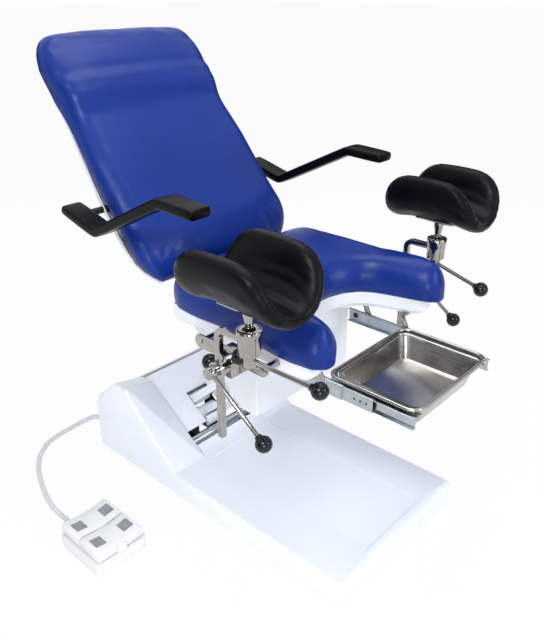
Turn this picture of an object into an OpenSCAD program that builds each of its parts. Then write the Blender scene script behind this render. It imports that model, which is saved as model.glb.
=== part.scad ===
// Electric gynaecological examination chair: white moulded base, parallel lift arms, seat with cut-out,
// reclining back, folding armrests, two clamped knee rests, pull-out tray and a foot switch.
// Millimetres. Z is up, the foot end points along -Y, the origin is the base's centre on the floor.

/* [Base] */
// Width of the base cover
base_w = 600; // [560:10:660]
// Length of the base cover
base_len = 1120; // [1080:10:1180]
// Height of the flat deck above the floor
deck_h = 74; // [66:1:84]
// Wall of the moulded base cover
cover_wall = 4; // [3:0.5:5]
// Height of the outer top edge of a rear cheek
cheek_h = 304; // [290:1:315]
// Height of the inner top edge of a rear cheek
cheek_inner_h = 266; // [255:1:275]
// Height of the rear wall between the cheeks
rear_h = 218; // [205:1:230]
// Clear width of the slot between the cheeks
slot_w = 300; // [280:5:320]
// Width of the sunk channel in the deck
channel_w = 296; // [260:4:320]
// Depth of the sunk channel in the deck
channel_depth = 3; // [2:0.5:5]

/* [Lift] */
// Length of the swing arms between their pivots
arm_len = 524; // [500:2:540]
// Angle of the swing arms above level as shown
arm_angle = 42; // [40:1:44]
// Width of the upper swing arm
arm_w = 92; // [70:2:100]
// Depth of the upper swing arm's box section
arm_depth = 34; // [28:1:38]
// Depth of the lower link
link_depth = 22; // [16:1:24]
// Diameter of the four lift pins
lift_pin_d = 16; // [12:1:20]

/* [Seat] */
// Half width of the seat cushion behind the knees
seat_half_w = 300; // [280:5:320]
// Height of the seat cushion's lower edge as shown
seat_z = 710; // [700:1:725]
// Thickness of the seat cushion at its crown
seat_thick = 104; // [90:2:112]
// Rear edge of the seat cushion
seat_rear_y = 138; // [130:1:138]
// Front end of the two thigh horns, in front of the centre
horn_reach = 432; // [420:2:450]
// Depth of the moulded seat shell
shell_h = 52; // [46:1:56]
// Half width of the belly housing under the seat
belly_half_w = 215; // [195:5:225]
// Lowest face of the belly housing as shown
belly_z = 408; // [400:1:420]

/* [Back] */
// Length of the back cushion
back_len = 820; // [760:2:830]
// Half width of the back cushion at its widest
back_half_w = 320; // [300:5:330]
// Half width of the back cushion near its top
back_top_half_w = 284; // [260:4:300]
// Thickness of the back cushion
back_thick = 84; // [70:2:90]
// Extra thickness of the raised head area
head_rise = 22; // [10:1:30]
// Angle of the back above level as shown
back_angle = 50; // [46:1:54]

/* [Armrests] */
// Width of an armrest bar
armrest_w = 50; // [40:2:56]
// Thickness of an armrest bar
armrest_t = 34; // [28:1:38]

/* [Knee rests] */
// Distance of each knee rest's post from the middle plane
post_x = 420; // [412:1:430]
// Side of the square post
post_side = 16; // [14:1:18]
// Length of a saddle pad
saddle_len = 286; // [260:2:300]
// Width of a saddle pad
saddle_w = 204; // [190:2:214]
// Thickness of a saddle pad
saddle_t = 26; // [20:1:30]
// Diameter of the black ball knobs
ball_d = 43; // [36:1:46]

/* [Tray] */
// Length of the tray over its rim
tray_len = 263; // [250:1:270]
// Width of the tray over its rim
tray_w = 330; // [320:1:336]
// Depth of the tray
tray_h = 65; // [50:1:75]
// Sheet of the tray
tray_sheet = 1; // [0.8:0.1:1.5]

/* [Foot switch] */
// Length of the foot switch across its two pedals
foot_len = 200; // [190:2:210]
// Width of the foot switch along a pedal
foot_w = 176; // [166:2:186]

/* [Hidden] */

// Working values shared by all pieces
cut = 1;
fit = 0.05;
seat_gap = 0.3;
round_fn = 24;

// Base values
floor_gap = 4;
base_x = base_w / 2;
base_y = base_len / 2;
edge_r = 14;
cheek_x = slot_w / 2 + cut * 2;
cheek_foot_y = 128;
cheek_top_front_y = 380;
cheek_top_rear_y = 432;
cheek_inner_front_y = 412;
cheek_inner_rear_y = 452;
rear_shelf_y = 470;
slot_front_y = 187;
slot_lip_rise = 20;
slot_lip_t = 14;
channel_front = 14;
deck_wall_z = deck_h - cover_wall;
frame_tube_w = 40;
frame_tube_h = 30;
frame_x = base_x - 20;
frame_y = base_y - 24;
frame_rib_y = 262;
bracket_t = 10;
bracket_in = 52;
arm_pivot_y = 345;
arm_pivot_z = 150;
link_dy = -45;
link_dz = -40;
link_w = 60;
lift_boss_d = 34;
plate_t = 3;
plate_slope = 34;
plate_low_y = 244;
plate_low_z = 113;
plate_seam = 110;
plate_high = 254;
plate_lap = 40;
notch_w = 98;
notch_top = 130;
ledge_w = 12;
tube_d = 30;
tube_y = 208;
tube_z = 94;
tube_wall = 3;
tube_end = cheek_x + edge_r + bracket_t;

// Lift values
arm_top_y = arm_pivot_y - arm_len * cos(arm_angle);
arm_top_z = arm_pivot_z + arm_len * sin(arm_angle);
arm_wall = 4;

// Seat and belly values
seat_crown = 12;
seat_edge_r = 34;
shell_inset = 7;
shell_wall = 4;
shell_draft = 16;
shell_z = seat_z - shell_h - seat_gap;
cut_y = 212;
frame_bar_w = 36;
frame_bar_h = 24;
belly_wall = 4;
belly_nose = 80.6;
belly_toe = 69;
belly_front_y = arm_top_y + link_dy - belly_nose;
belly_heel_y = belly_front_y + belly_toe;
belly_rear_y = 112;
belly_shoulder_z = 640;
belly_slot_w = 132;
belly_top_z = shell_z - seat_gap;
ear_t = 8;
ear_in = 50;
hinge_y = 167;
hinge_z = 726;
hinge_pin_d = 16;
hinge_x = 150;
lug_t = 12;
lug_gap = 0.5;
lug_d = 36;

// Back values, measured from the hinge: along the back and out of its front face
back_start = 20;
back_rear = 5;
back_shell_t = 26;
back_frame_t = 14;
back_shell_inset = 6;
head_start_share = 0.76;
arm_pivot_along = 292;
arm_pivot_back = 7;
arm_pivot_d = 20;
armrest_clear = 40;
armrest_x = back_half_w + armrest_clear;
armrest_r = 8;
// Middle line of an armrest, from its rear end over the corner and the elbow to the tip, as places behind
// the hinge and above it
armrest_line = [[235, 231], [95, 195], [-195, 340], [-317, 334]];

// Knee rest values
rail_x = 357;
rail_t = 6;
rail_h = 40;
rail_z = 694;
rail_front_y = -349;
rail_rear_y = -86;
spacer_front_y = -332;
spacer_rear_y = -111;
spacer_d = 20;
spacer_bolt_d = 13;
spacer_bolt_h = 5;
hub_y = -241;
hub_z = 690;
hub_d = 44;
hub_w = 34;
barrel_d = 22;
barrel_in = 372;
clamp_half = 27;
clamp_lip = 9;
clamp_h = 62;
post_top_z = 802;
post_bottom_z = 484;
post_bend = 22;
post_fit = 0.3;
cup_y = -345;
cup_d = 58;
cup_low_z = 770;
cup_step_z = 802;
cup_high_z = 834;
cup_ball_d = 38;
cup_ball_z = 812;
cup_mouth_d = 32;
stem_low_d = 18;
stem_high_d = 30;
stem_top_z = 876;
screw_d = 12;
nut_d = 32;
nut_h = 32;
rod_d = 12;
ball_lever_len = 186;
ball_lever_turn = 12;
ball_lever_drop = 28;
clamp_lever_y = -418;
clamp_lever_z = 563;
clamp_lever_x = 451;
strap_t = 4;
strap_len = 108;
saddle_low_z = 890;
saddle_radius = 110;
saddle_reach = 96;
rim_angle = 6;
saddle_sections = 16;
knob_x = 389;
knob_tilt = 40;
knob_reach = 54;
rail_knob_z = 667;
rail_knob_reach = 70;
knob_stem_d = 10;

// Tray values
tray_rear_y = -402;
tray_z = 622;
tray_r = 28;
tray_draft = 15;
rim_d = 5;
rim_w = 9;
tray_edge = 8;
slide_x = 198;
slide_sheet = 1.5;
slide_h = 41;
slide_z = 603;
slide_deep = 12;
slide_play = 0.4;
outer_rear_y = -188;
outer_len = 268;
middle_rear_y = -290;
middle_len = 260;
inner_rear_y = -402;
inner_len = 265;
hanger_foot = 52;
hanger_w = 20;
hanger_t = 4;
hanger_front_y = -385;
hanger_rear_y = -250;
hanger_lean = 30;

// Foot switch values
foot_x = -512;
foot_y = 14;
foot_base_h = 42;
foot_inset = 8;
foot_r = 16;
pedal_gap = 6;
pedal_h = 34;
pedal_rise = 8;
pedal_pin_d = 8;
pedal_lift = 5;

// Hose values: the route's own points, in order from the base to the cable
hose_d = 17;
hose_bore = 9;
hose_ribs = 118;
hose_rib_depth = 1.6;
cable_d = 7;
gland_d = 30;
gland_len = 16;
gland_flange = 4;
gland_hole_d = 18;
cable_rings = 6;
hose_route = [[-262, 576, 70], [-262, 594, 70], [-262, 612, 70], [-274, 640, 62], [-300, 672, 40], [-340, 694, 20],
              [-385, 703, 10], [-440, 690, 9], [-495, 650, 9], [-540, 592, 9], [-574, 520, 9], [-600, 450, 9],
              [-618, 380, 9], [-622, 330, 9], [-622, 310, 9], [-622, 290, 9]];
hose_bore_route = concat([hose_route[0] - [0, 2 * cut, 0]], [for (k = [1 : len(hose_route) - 2]) hose_route[k]],
                         [hose_route[len(hose_route) - 1] - [0, 2 * cut, 0]]);
cable_route = [[-622, 300, 9], [-622, 276, 9], [-618, 262, 13], [-606, 246, 19], [-600, 232, 22], [-600, 222, 22],
               [-600, 214, 22]];

white = [0.93, 0.94, 0.95];
blue = [0.12, 0.2, 0.6];
black = [0.05, 0.05, 0.06];
steel = [0.78, 0.78, 0.8];
zinc = [0.66, 0.68, 0.7];

// Small helpers for points and solids

function unit(v) = v / norm(v);
function lerp(a, b, t) = a + (b - a) * t;
function smooth(t) = t * t * (3 - 2 * t);
function clip(t) = max(0, min(1, t));

// Sum of the turns of a closed ring, a vector square to it
function turning(ring) = let (n = len(ring), c = ring[0])
    sum_points([for (i = [1 : n - 2]) cross(ring[i] - c, ring[i + 1] - c)], n - 3);
function sum_points(list, k) = k == 0 ? list[0] : list[k] + sum_points(list, k - 1);

// A tube or pad given as a list of closed sections, each a ring of points in the same order
module skin(sections) {
    rings = len(sections);
    side = len(sections[0]);
    first = sections[0];
    last = sections[rings - 1];
    first_mid = [for (k = [0 : 2]) (min([for (p = first) p[k]]) + max([for (p = first) p[k]])) / 2];
    last_mid = [for (k = [0 : 2]) (min([for (p = last) p[k]]) + max([for (p = last) p[k]])) / 2];
    points = concat([for (ring = sections) for (p = ring) p], [first_mid, last_mid]);
    walls = [for (r = [0 : rings - 2]) for (i = [0 : side - 1])
        let (a = r * side + i, b = r * side + (i + 1) % side)
        each [[a, b, b + side], [a, b + side, a + side]]];
    start_cap = [for (i = [0 : side - 1]) [rings * side, (i + 1) % side, i]];
    end_cap = [for (i = [0 : side - 1])
        [rings * side + 1, (rings - 1) * side + i, (rings - 1) * side + (i + 1) % side]];
    faces = concat(walls, start_cap, end_cap);
    half = floor(rings / 2);
    along = sections[half][0] + sections[half][floor(side / 2)]
        - sections[half - 1][0] - sections[half - 1][floor(side / 2)];
    outward = turning(sections[half]) * along < 0;
    polyhedron(points, outward ? faces : [for (f = faces) [f[2], f[1], f[0]]]);
}

// A profile of (y, z) points pulled along X
module along_x(points, x_low, x_high) {
    translate([x_low, 0, 0]) rotate([90, 0, 90]) linear_extrude(x_high - x_low) polygon(points);
}

module rod(p, q, d) {
    v = q - p;
    translate(p) rotate([0, acos(v[2] / norm(v)), atan2(v[1], v[0])]) cylinder(h = norm(v), d = d, $fn = 48);
}

module pin_x(x_low, x_high, y, z, d) {
    translate([x_low, y, z]) rotate([0, 90, 0]) cylinder(h = x_high - x_low, d = d, $fn = 64);
}

module rounded_plate(x_low, x_high, y_low, y_high, z_low, height, r) {
    translate([0, 0, z_low]) linear_extrude(height) union() {
        translate([x_low + r, y_low]) square([x_high - x_low - 2 * r, y_high - y_low]);
        translate([x_low, y_low + r]) square([x_high - x_low, y_high - y_low - 2 * r]);
        for (x = [x_low + r, x_high - r]) for (y = [y_low + r, y_high - r])
            translate([x, y]) circle(r = r, $fn = 48);
    }
}

// Mirrors a right-hand piece to the left, where side is -1
module on_side(side) {
    if (side < 0) mirror([1, 0, 0]) children();
    else children();
}

// Base

module base_frame() {
    color(black) difference() {
        union() {
            for (y = [-frame_y, frame_y - frame_tube_w, frame_rib_y])
                translate([-frame_x, y, 0]) cube([2 * frame_x, frame_tube_w, frame_tube_h]);
            for (x = [-frame_x, frame_x - frame_tube_w])
                translate([x, -frame_y, 0]) cube([frame_tube_w, 2 * frame_y, frame_tube_h]);
            for (x = [-bracket_in - bracket_t, bracket_in]) lift_bracket(x);
            for (x = [-tube_end, tube_end - bracket_t]) tube_bracket(x);
            for (x = [-tube_end, tube_end - frame_tube_w])
                translate([x, tube_y - tube_d, 0])
                    cube([frame_tube_w, frame_rib_y - tube_y + tube_d, frame_tube_h]);
            for (x = [-bracket_in - frame_tube_w / 2, bracket_in - frame_tube_w / 2])
                translate([x, frame_rib_y, 0])
                    cube([frame_tube_w, frame_y - frame_rib_y, frame_tube_h]);
        }
        pin_x(-base_x, base_x, arm_pivot_y, arm_pivot_z, lift_pin_d);
        pin_x(-base_x, base_x, arm_pivot_y + link_dy, arm_pivot_z + link_dz, lift_pin_d);
        pin_x(-base_x, base_x, tube_y, tube_z, tube_d);
    }
}

// One upright plate that holds both lower lift pins
module lift_bracket(x) {
    r = lift_boss_d / 2;
    along_x([[arm_pivot_y + link_dy - r, 0], [arm_pivot_y + r + bracket_t, 0],
             [arm_pivot_y + r, arm_pivot_z], [arm_pivot_y, arm_pivot_z],
             [arm_pivot_y + link_dy, arm_pivot_z + link_dz],
             [arm_pivot_y + link_dy - r, arm_pivot_z + link_dz]], x, x + bracket_t);
    pin_x(x, x + bracket_t, arm_pivot_y, arm_pivot_z, lift_boss_d);
    pin_x(x, x + bracket_t, arm_pivot_y + link_dy, arm_pivot_z + link_dz, lift_boss_d);
}

// One upright plate that carries an end of the cross tube
module tube_bracket(x) {
    r = tube_d / 2 + tube_wall;
    along_x([[tube_y - r, 0], [tube_y + r, 0], [tube_y + r, tube_z], [tube_y - r, tube_z]], x, x + bracket_t);
    pin_x(x, x + bracket_t, tube_y, tube_z, 2 * r);
}

// The outer body of the cover, drawn in by inset for its inner side
module deck_body(inset) {
    r = edge_r - inset;
    low = inset > 0 ? floor_gap - cut : floor_gap;
    hull() {
        for (x = [-base_x + edge_r, base_x - edge_r]) for (y = [-base_y + edge_r, base_y - edge_r]) {
            translate([x, y, low]) cylinder(r = r, h = cut, $fn = round_fn);
            translate([x, y, deck_h - edge_r]) sphere(r = r, $fn = round_fn);
        }
    }
}

module cheek_body(inset) {
    r = edge_r - inset;
    low = inset > 0 ? floor_gap - cut : floor_gap;
    inner = cheek_x + edge_r;
    outer = base_x - edge_r;
    hull() {
        for (x = [inner, outer]) {
            translate([x, cheek_foot_y + edge_r, low]) cylinder(r = r, h = cut, $fn = round_fn);
            translate([x, base_y - edge_r, low]) cylinder(r = r, h = cut, $fn = round_fn);
            translate([x, cheek_foot_y + edge_r, deck_h - edge_r]) sphere(r = r, $fn = round_fn);
            translate([x, base_y - edge_r, rear_h - 3 * edge_r]) sphere(r = r, $fn = round_fn);
            translate([x, base_y - 2 * edge_r, rear_h - edge_r]) sphere(r = r, $fn = round_fn);
        }
        translate([outer, cheek_top_front_y, cheek_h - edge_r]) sphere(r = r, $fn = round_fn);
        translate([outer, cheek_top_rear_y, cheek_h - edge_r]) sphere(r = r, $fn = round_fn);
        translate([inner, cheek_inner_front_y, cheek_inner_h - edge_r]) sphere(r = r, $fn = round_fn);
        translate([inner, cheek_inner_rear_y, cheek_inner_h - edge_r]) sphere(r = r, $fn = round_fn);
    }
}

module rear_bridge(wall) {
    low = wall > 0 ? floor_gap - cut : floor_gap;
    slope = (cheek_inner_h - rear_h) / (base_y - cheek_inner_rear_y);
    top = rear_h + slope * (base_y - rear_shelf_y) - wall;
    along_x([[rear_shelf_y + wall, low], [base_y - wall, low], [base_y - wall, rear_h - 3 * edge_r],
             [base_y - edge_r / 2, rear_h - edge_r - wall], [base_y - 2 * edge_r, rear_h - wall],
             [rear_shelf_y + wall, top]],
            -cheek_x - 2 * edge_r, cheek_x + 2 * edge_r);
}

module base_cover() {
    color(white) {
        cover_shell();
        channel_floor();
        for (side = [-1, 1]) on_side(side) {
            plate_ledge(0, plate_seam + plate_lap, 0);
            plate_ledge(plate_seam + plate_lap + seat_gap, plate_high, plate_t);
        }
    }
}

// Ledge along the slot's side wall, just under a slot cover
module plate_ledge(s_low, s_high, lift) {
    top = lift - seat_gap;
    along_x([plate_point(s_low, top - plate_t), plate_point(s_high, top - plate_t), plate_point(s_high, top),
             plate_point(s_low, top)], slot_w / 2 - ledge_w, cheek_x + cover_wall / 2);
}

module cover_shell() {
    difference() {
        union() {
            deck_body(0);
            cheek_body(0);
            mirror([1, 0, 0]) cheek_body(0);
            rear_bridge(0);
            slot_lip();
        }
        deck_body(cover_wall);
        cheek_body(cover_wall);
        mirror([1, 0, 0]) cheek_body(cover_wall);
        rear_bridge(cover_wall);
        translate([-slot_w / 2, slot_front_y, 0])
            cube([slot_w, rear_shelf_y - slot_front_y, cheek_h]);
        deck_channel();
        pin_x(-tube_end, tube_end, tube_y, tube_z, tube_d + 2 * cut);
        translate([hose_route[0][0], base_y + cut, hose_route[0][2]])
            rotate([90, 0, 0]) cylinder(h = 3 * cover_wall, d = gland_hole_d, $fn = 48);
    }
}

// Raised lip along the front edge of the slot
module slot_lip() {
    translate([0, slot_front_y - slot_lip_t, deck_wall_z])
        rotate([90, 0, 90]) linear_extrude(slot_w, center = true)
            polygon([[-slot_lip_rise * 2, 0], [0, slot_lip_rise], [slot_lip_t / 2, slot_lip_rise + cover_wall],
                     [slot_lip_t, slot_lip_rise], [slot_lip_t, 0]]);
}

// Sunk channel along the middle of the deck
module deck_channel() {
    x = channel_w / 2;
    translate([-x, -base_y + 2 * edge_r, deck_h - channel_depth])
        cube([channel_w, cheek_foot_y - channel_front + base_y - 2 * edge_r, deck_h]);
}

// Thicker floor under the sunk channel
module channel_floor() {
    x = channel_w / 2 + cover_wall;
    translate([-x, -base_y + 2 * edge_r - cover_wall, deck_wall_z - channel_depth])
        cube([2 * x, cheek_foot_y - channel_front + base_y - 2 * edge_r + 2 * cover_wall, channel_depth + cut / 2]);
}

// A point in the slanted plane of the slot covers, by its distance up the slope
function plate_point(s, lift) = [plate_low_y + s * cos(plate_slope) - lift * sin(plate_slope),
                                 plate_low_z + s * sin(plate_slope) + lift * cos(plate_slope)];

module plate_body(s_low, s_high, lift) {
    x = slot_w / 2 - seat_gap;
    along_x([plate_point(s_low, lift), plate_point(s_high, lift), plate_point(s_high, lift + plate_t),
             plate_point(s_low, lift + plate_t)], -x, x);
}

module slot_cover_upper() {
    color(white) difference() {
        plate_body(plate_seam, plate_high, plate_t);
        arm_notch();
    }
}

module slot_cover_lower() {
    color(white) difference() {
        plate_body(0, plate_seam + plate_lap, 0);
        arm_notch();
    }
}

// Notch in the covers for the swing arms
module arm_notch() {
    low = plate_point(-plate_lap, 0);
    high = plate_point(notch_top, 0);
    translate([-notch_w / 2, low[0] - plate_lap, 0]) cube([notch_w, high[0] - low[0] + plate_lap, cheek_h]);
}

module slot_tube() {
    color(zinc) difference() {
        pin_x(-tube_end, tube_end, tube_y, tube_z, tube_d - 2 * fit);
        pin_x(-tube_end - cut, tube_end + cut, tube_y, tube_z, tube_d - 2 * tube_wall);
    }
}

module lift_pins_low() {
    x = bracket_in + bracket_t;
    color(steel) for (k = [0, 1]) pin_x(-x, x, arm_pivot_y + k * link_dy, arm_pivot_z + k * link_dz,
                                       lift_pin_d - 2 * fit);
}

// Lift

// One swing arm from its lower pivot, with a boss at each end
module swing_arm(width, depth, y, z) {
    translate([0, y, z]) rotate([-arm_angle, 0, 0]) mirror([0, 1, 0]) difference() {
        union() {
            translate([-width / 2, 0, -depth / 2]) cube([width, arm_len, depth]);
            for (end = [0, arm_len]) pin_x(-width / 2, width / 2, end, 0, depth + 2 * arm_wall);
        }
        for (end = [0, arm_len]) pin_x(-width, width, end, 0, lift_pin_d);
    }
}

module lift_arm() {
    color(zinc) swing_arm(arm_w, arm_depth - 2 * arm_wall, arm_pivot_y, arm_pivot_z);
}

module lift_link() {
    color(zinc) swing_arm(link_w, link_depth, arm_pivot_y + link_dy, arm_pivot_z + link_dz);
}

// Carriage: everything that rides on the lift arms

module lift_ear(x) {
    r = lift_boss_d / 2;
    top = shell_z + shell_wall + frame_bar_h / 2;
    along_x([[arm_top_y + link_dy - r, arm_top_z + link_dz], [arm_top_y + link_dy, arm_top_z + link_dz - r],
             [arm_top_y + r, arm_top_z], [arm_top_y + r, top], [arm_top_y + link_dy - r, top]], x, x + ear_t);
}

module hinge_lug(x) {
    z_low = shell_z + shell_wall;
    difference() {
        union() {
            along_x([[seat_rear_y - 3 * lug_d, z_low], [seat_rear_y - lug_d / 2, z_low],
                     [hinge_y + lug_d / 2, hinge_z - lug_d / 4], [hinge_y, hinge_z + lug_d / 2],
                     [hinge_y - lug_d / 2, hinge_z], [seat_rear_y - lug_d, z_low + frame_bar_h],
                     [seat_rear_y - 3 * lug_d, z_low + frame_bar_h]], x, x + lug_t);
            pin_x(x, x + lug_t, hinge_y, hinge_z, lug_d);
        }
        pin_x(x - cut, x + lug_t + cut, hinge_y, hinge_z, hinge_pin_d);
    }
}

module carriage_frame() {
    z = shell_z + shell_wall;
    bar_x = hinge_x + lug_t;
    bar_front_y = -cut_y + 2 * frame_bar_w;
    bar_rear_y = seat_rear_y - 2 * lug_d;
    color(black) difference() {
        union() {
            for (y = [bar_front_y, bar_rear_y])
                translate([-seat_half_w + 4 * shell_draft, y, z])
                    cube([2 * seat_half_w - 8 * shell_draft, frame_bar_w, frame_bar_h]);
            for (x = [-bar_x, bar_x - frame_bar_w])
                translate([x, bar_front_y, z]) cube([frame_bar_w, bar_rear_y - bar_front_y, frame_bar_h]);
            for (x = [-ear_in - ear_t, ear_in]) {
                lift_ear(x);
                translate([x, bar_front_y + frame_bar_w / 2, z])
                    cube([ear_t, bar_rear_y - bar_front_y, frame_bar_h]);
            }
            for (x = [-hinge_x - lug_t, hinge_x]) hinge_lug(x);
        }
        pin_x(-base_x, base_x, arm_top_y, arm_top_z, lift_pin_d);
        pin_x(-base_x, base_x, arm_top_y + link_dy, arm_top_z + link_dz, lift_pin_d);
    }
}

module lift_pins_high() {
    x = ear_in + ear_t;
    color(steel) for (k = [0, 1]) pin_x(-x, x, arm_top_y + k * link_dy, arm_top_z + k * link_dz,
                                       lift_pin_d - 2 * fit);
}

// Side profile of the belly housing, drawn in by a wall
function belly_profile(w) = [[belly_front_y + w, belly_z + w], [belly_heel_y - w / 2, belly_z + w],
                             [belly_rear_y - w, belly_shoulder_z + w / 2], [belly_rear_y - w, belly_top_z - w],
                             [belly_front_y + w, belly_top_z - w]];

module belly_cover() {
    opening = belly_slot_w / 2;
    color(white) difference() {
        along_x(belly_profile(0), -belly_half_w, belly_half_w);
        along_x(belly_profile(belly_wall), -belly_half_w + belly_wall, belly_half_w - belly_wall);
        translate([-opening, belly_heel_y - belly_wall, belly_z - cut])
            cube([2 * opening, belly_rear_y - belly_heel_y, belly_shoulder_z - belly_z]);
        translate([-opening, arm_top_y + link_dy - lift_boss_d, belly_top_z - 2 * belly_wall])
            cube([2 * opening, seat_rear_y - arm_top_y, 3 * belly_wall]);
        for (x = [-belly_half_w, belly_half_w])
            translate([x, belly_front_y, belly_z]) rotate([0, 0, 45])
                cube([belly_wall, belly_wall, 3 * belly_top_z], center = true);
    }
}

// Half outline of the seat, as shares of its half width and of its lengths behind and in front of the centre,
// with the inward direction of each point. Rear points run round the outside to the tip of a thigh horn.
seat_outer_shares = [[0, 1, 0, -1], [0.42, 1, 0, -1], [0.78, 0.955, 0, -1], [0.93, 0.765, -0.5, -0.5],
    [0.965, 0.375, -1, 0], [0.97, 0, -1, 0], [0.965, -0.255, -1, 0], [0.99, -0.486, -1, 0],
    [1.03, -0.671, -1, 0], [1.05, -0.81, -1, 0], [1.025, -0.935, -1, 0.33], [0.965, -0.983, -0.5, 0.8],
    [0.9, -1, -0.3, 1]];
// Front points follow the cut-out from its middle to the same tip, as shares of the horn's length past it
seat_inner_shares = [[0, 0, 0, 1], [0.2, 0.01, 0, 1], [0.367, 0.073, 0.25, 0.95], [0.5, 0.195, 0.6, 0.7],
    [0.543, 0.282, 0.8, 0.5], [0.583, 0.377, 0.95, 0.2], [0.613, 0.5, 1, 0], [0.64, 0.627, 1, 0],
    [0.663, 0.736, 1, 0], [0.687, 0.836, 1, 0], [0.72, 0.93, 0.8, 0.6], [0.765, 0.98, 0.33, 1],
    [0.83, 1, 0.3, 1]];
// How full the cushion stands at each rung, from the middle to the horn's tip
seat_full_shares = [1, 1, 1, 1, 1, 1, 1, 1, 1, 1, 0.97, 0.84, 0.5];

function seat_outer(g) = [for (s = seat_outer_shares)
    [s[0] * seat_half_w + s[2] * g, s[1] * (s[1] > 0 ? seat_rear_y : horn_reach) + s[3] * g]];
function seat_inner(g) = [for (s = seat_inner_shares)
    [s[0] * seat_half_w + s[2] * g, -lerp(cut_y, horn_reach, s[1]) + s[3] * g]];
function seat_side(y) = lookup(y, [for (k = [9 : -1 : 5]) let (p = seat_outer(0)[k]) [p[1], p[0]]]);

// Closed section from one rung: flat underside, round ends and a crowned top
function cushion_section(a, b, z_low, thick, crown, r, full) =
    let (v = unit(b - a), span = norm(b - a), e = min(r, span * 0.42), h = thick - crown)
    concat(
        [for (k = [0 : 2]) concat(a + v * e * 0.16 * pow(2 - k, 2) * 0.8, [z_low + full * h * 0.12 * k])],
        [for (k = [0 : 4]) concat(a + v * e * (1 - cos(22.5 * k)), [z_low + full * h * (0.4 + 0.6 * sin(22.5 * k))])],
        [for (t = [0.25, 0.5, 0.75])
            concat(a + v * (e + (span - 2 * e) * t), [z_low + full * (h + crown * 4 * t * (1 - t))])],
        [for (k = [4 : -1 : 0]) concat(b - v * e * (1 - cos(22.5 * k)),
            [z_low + full * h * (0.4 + 0.6 * sin(22.5 * k))])],
        [for (k = [2 : -1 : 0]) concat(b - v * e * 0.16 * pow(2 - k, 2) * 0.8, [z_low + full * h * 0.12 * k])]);

module seat_cushion() {
    outer = seat_outer(0);
    inner = seat_inner(0);
    count = len(outer);
    half = [for (j = [0 : count - 1])
        cushion_section(inner[j], outer[j], seat_z, seat_thick, seat_crown, seat_edge_r, seat_full_shares[j])];
    flip = [for (j = [count - 1 : -1 : 1]) [for (p = half[j]) [-p[0], p[1], p[2]]]];
    color(blue) skin(concat(flip, half));
}

// A flat-bottomed tray body that follows the seat's outline, drawn in towards its floor
function shell_section(a, b, c, d, z_low, z_high) =
    [[c[0], c[1], z_low], [a[0], a[1], z_low + shell_draft], [a[0], a[1], z_high],
     [b[0], b[1], z_high], [b[0], b[1], z_low + shell_draft], [d[0], d[1], z_low]];

module seat_form(gap, z_low, z_high) {
    inner = seat_inner(gap);
    outer = seat_outer(gap);
    inner_low = seat_inner(gap + shell_draft);
    outer_low = seat_outer(gap + shell_draft);
    count = len(outer);
    half = [for (j = [0 : count - 1])
        shell_section(inner[j], outer[j], inner_low[j], outer_low[j], z_low, z_high)];
    flip = [for (j = [count - 1 : -1 : 1]) [for (p = half[j]) [-p[0], p[1], p[2]]]];
    skin(concat(flip, half));
}

module seat_shell() {
    top = seat_z - seat_gap;
    color(white) difference() {
        seat_form(shell_inset, shell_z, top);
        seat_form(shell_inset + shell_wall, shell_z + shell_wall, top + cut);
        translate([-belly_slot_w / 2, arm_top_y + link_dy - lift_boss_d, shell_z - cut])
            cube([belly_slot_w, seat_rear_y - lug_d - arm_top_y, 3 * shell_wall]);
        for (x = [-hinge_x - lug_t - cut, hinge_x - cut])
            translate([x, seat_rear_y - lug_d, shell_z - cut]) cube([lug_t + 2 * cut, lug_d * 2, 2 * shell_h]);
    }
}

module back_hinge_pins() {
    color(steel) for (x = [-hinge_x - 2 * lug_t - lug_gap, hinge_x])
        pin_x(x, x + 2 * lug_t + lug_gap, hinge_y, hinge_z, hinge_pin_d - 2 * fit);
}

// Back: drawn upright from the hinge with its front face towards -Y, then laid back

module in_back() {
    translate([0, hinge_y, hinge_z]) rotate([back_angle - 90, 0, 0]) children();
}

// Half width of the back at a height share s from its lower end to its top
function back_width(s) =
    s < 0.1 ? lerp(back_half_w - 52, back_half_w - 4, sin(90 * s / 0.1)) :
    s < 0.86 ? lerp(back_half_w, back_top_half_w, smooth(clip((s - 0.25) / 0.61))) :
    lerp(back_top_half_w - 96, back_top_half_w, sqrt(max(0, 1 - pow((s - 0.86) / 0.14, 2))));

// Thickness of the cushion at the same share: soft nose, flat rest, crease, raised head
function back_depth(s) =
    back_thick * (0.45 + 0.55 * sin(90 * clip(s / 0.14))) * (1 - 0.5 * pow(clip((s - 0.9) / 0.1), 2))
    + head_rise * smooth(clip((s - head_start_share) / 0.05)) * (1 - clip((s - 0.9) / 0.1))
    - head_rise * 0.5 * max(0, 1 - abs(s - head_start_share) / 0.03);

function back_section(w, z, y_rear, depth, r) = concat(
    [for (x = [-0.5, 0, 0.5]) [-2 * x * (w - r * 0.4), -y_rear, z]],
    [for (k = [0 : 3]) [-w + r * 0.4 * (1 - sin(30 * k)), -y_rear - depth * 0.13 * k, z]],
    [for (k = [1 : 3]) [-w + r * (1 - cos(30 * k)), -y_rear - depth * (0.39 + 0.51 * sin(30 * k)), z]],
    [for (x = [-0.6, 0, 0.6]) [x * (w - r), -y_rear - depth * (1 - 0.06 * x * x), z]],
    [for (k = [3 : -1 : 1]) [w - r * (1 - cos(30 * k)), -y_rear - depth * (0.39 + 0.51 * sin(30 * k)), z]],
    [for (k = [3 : -1 : 0]) [w - r * 0.4 * (1 - sin(30 * k)), -y_rear - depth * 0.13 * k, z]]);

back_shares = [0, 0.02, 0.05, 0.09, 0.14, 0.22, 0.32, 0.42, 0.52, 0.62, 0.7, 0.73, 0.76, 0.79, 0.82, 0.86, 0.9,
               0.94, 0.97, 0.99, 1];

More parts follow.
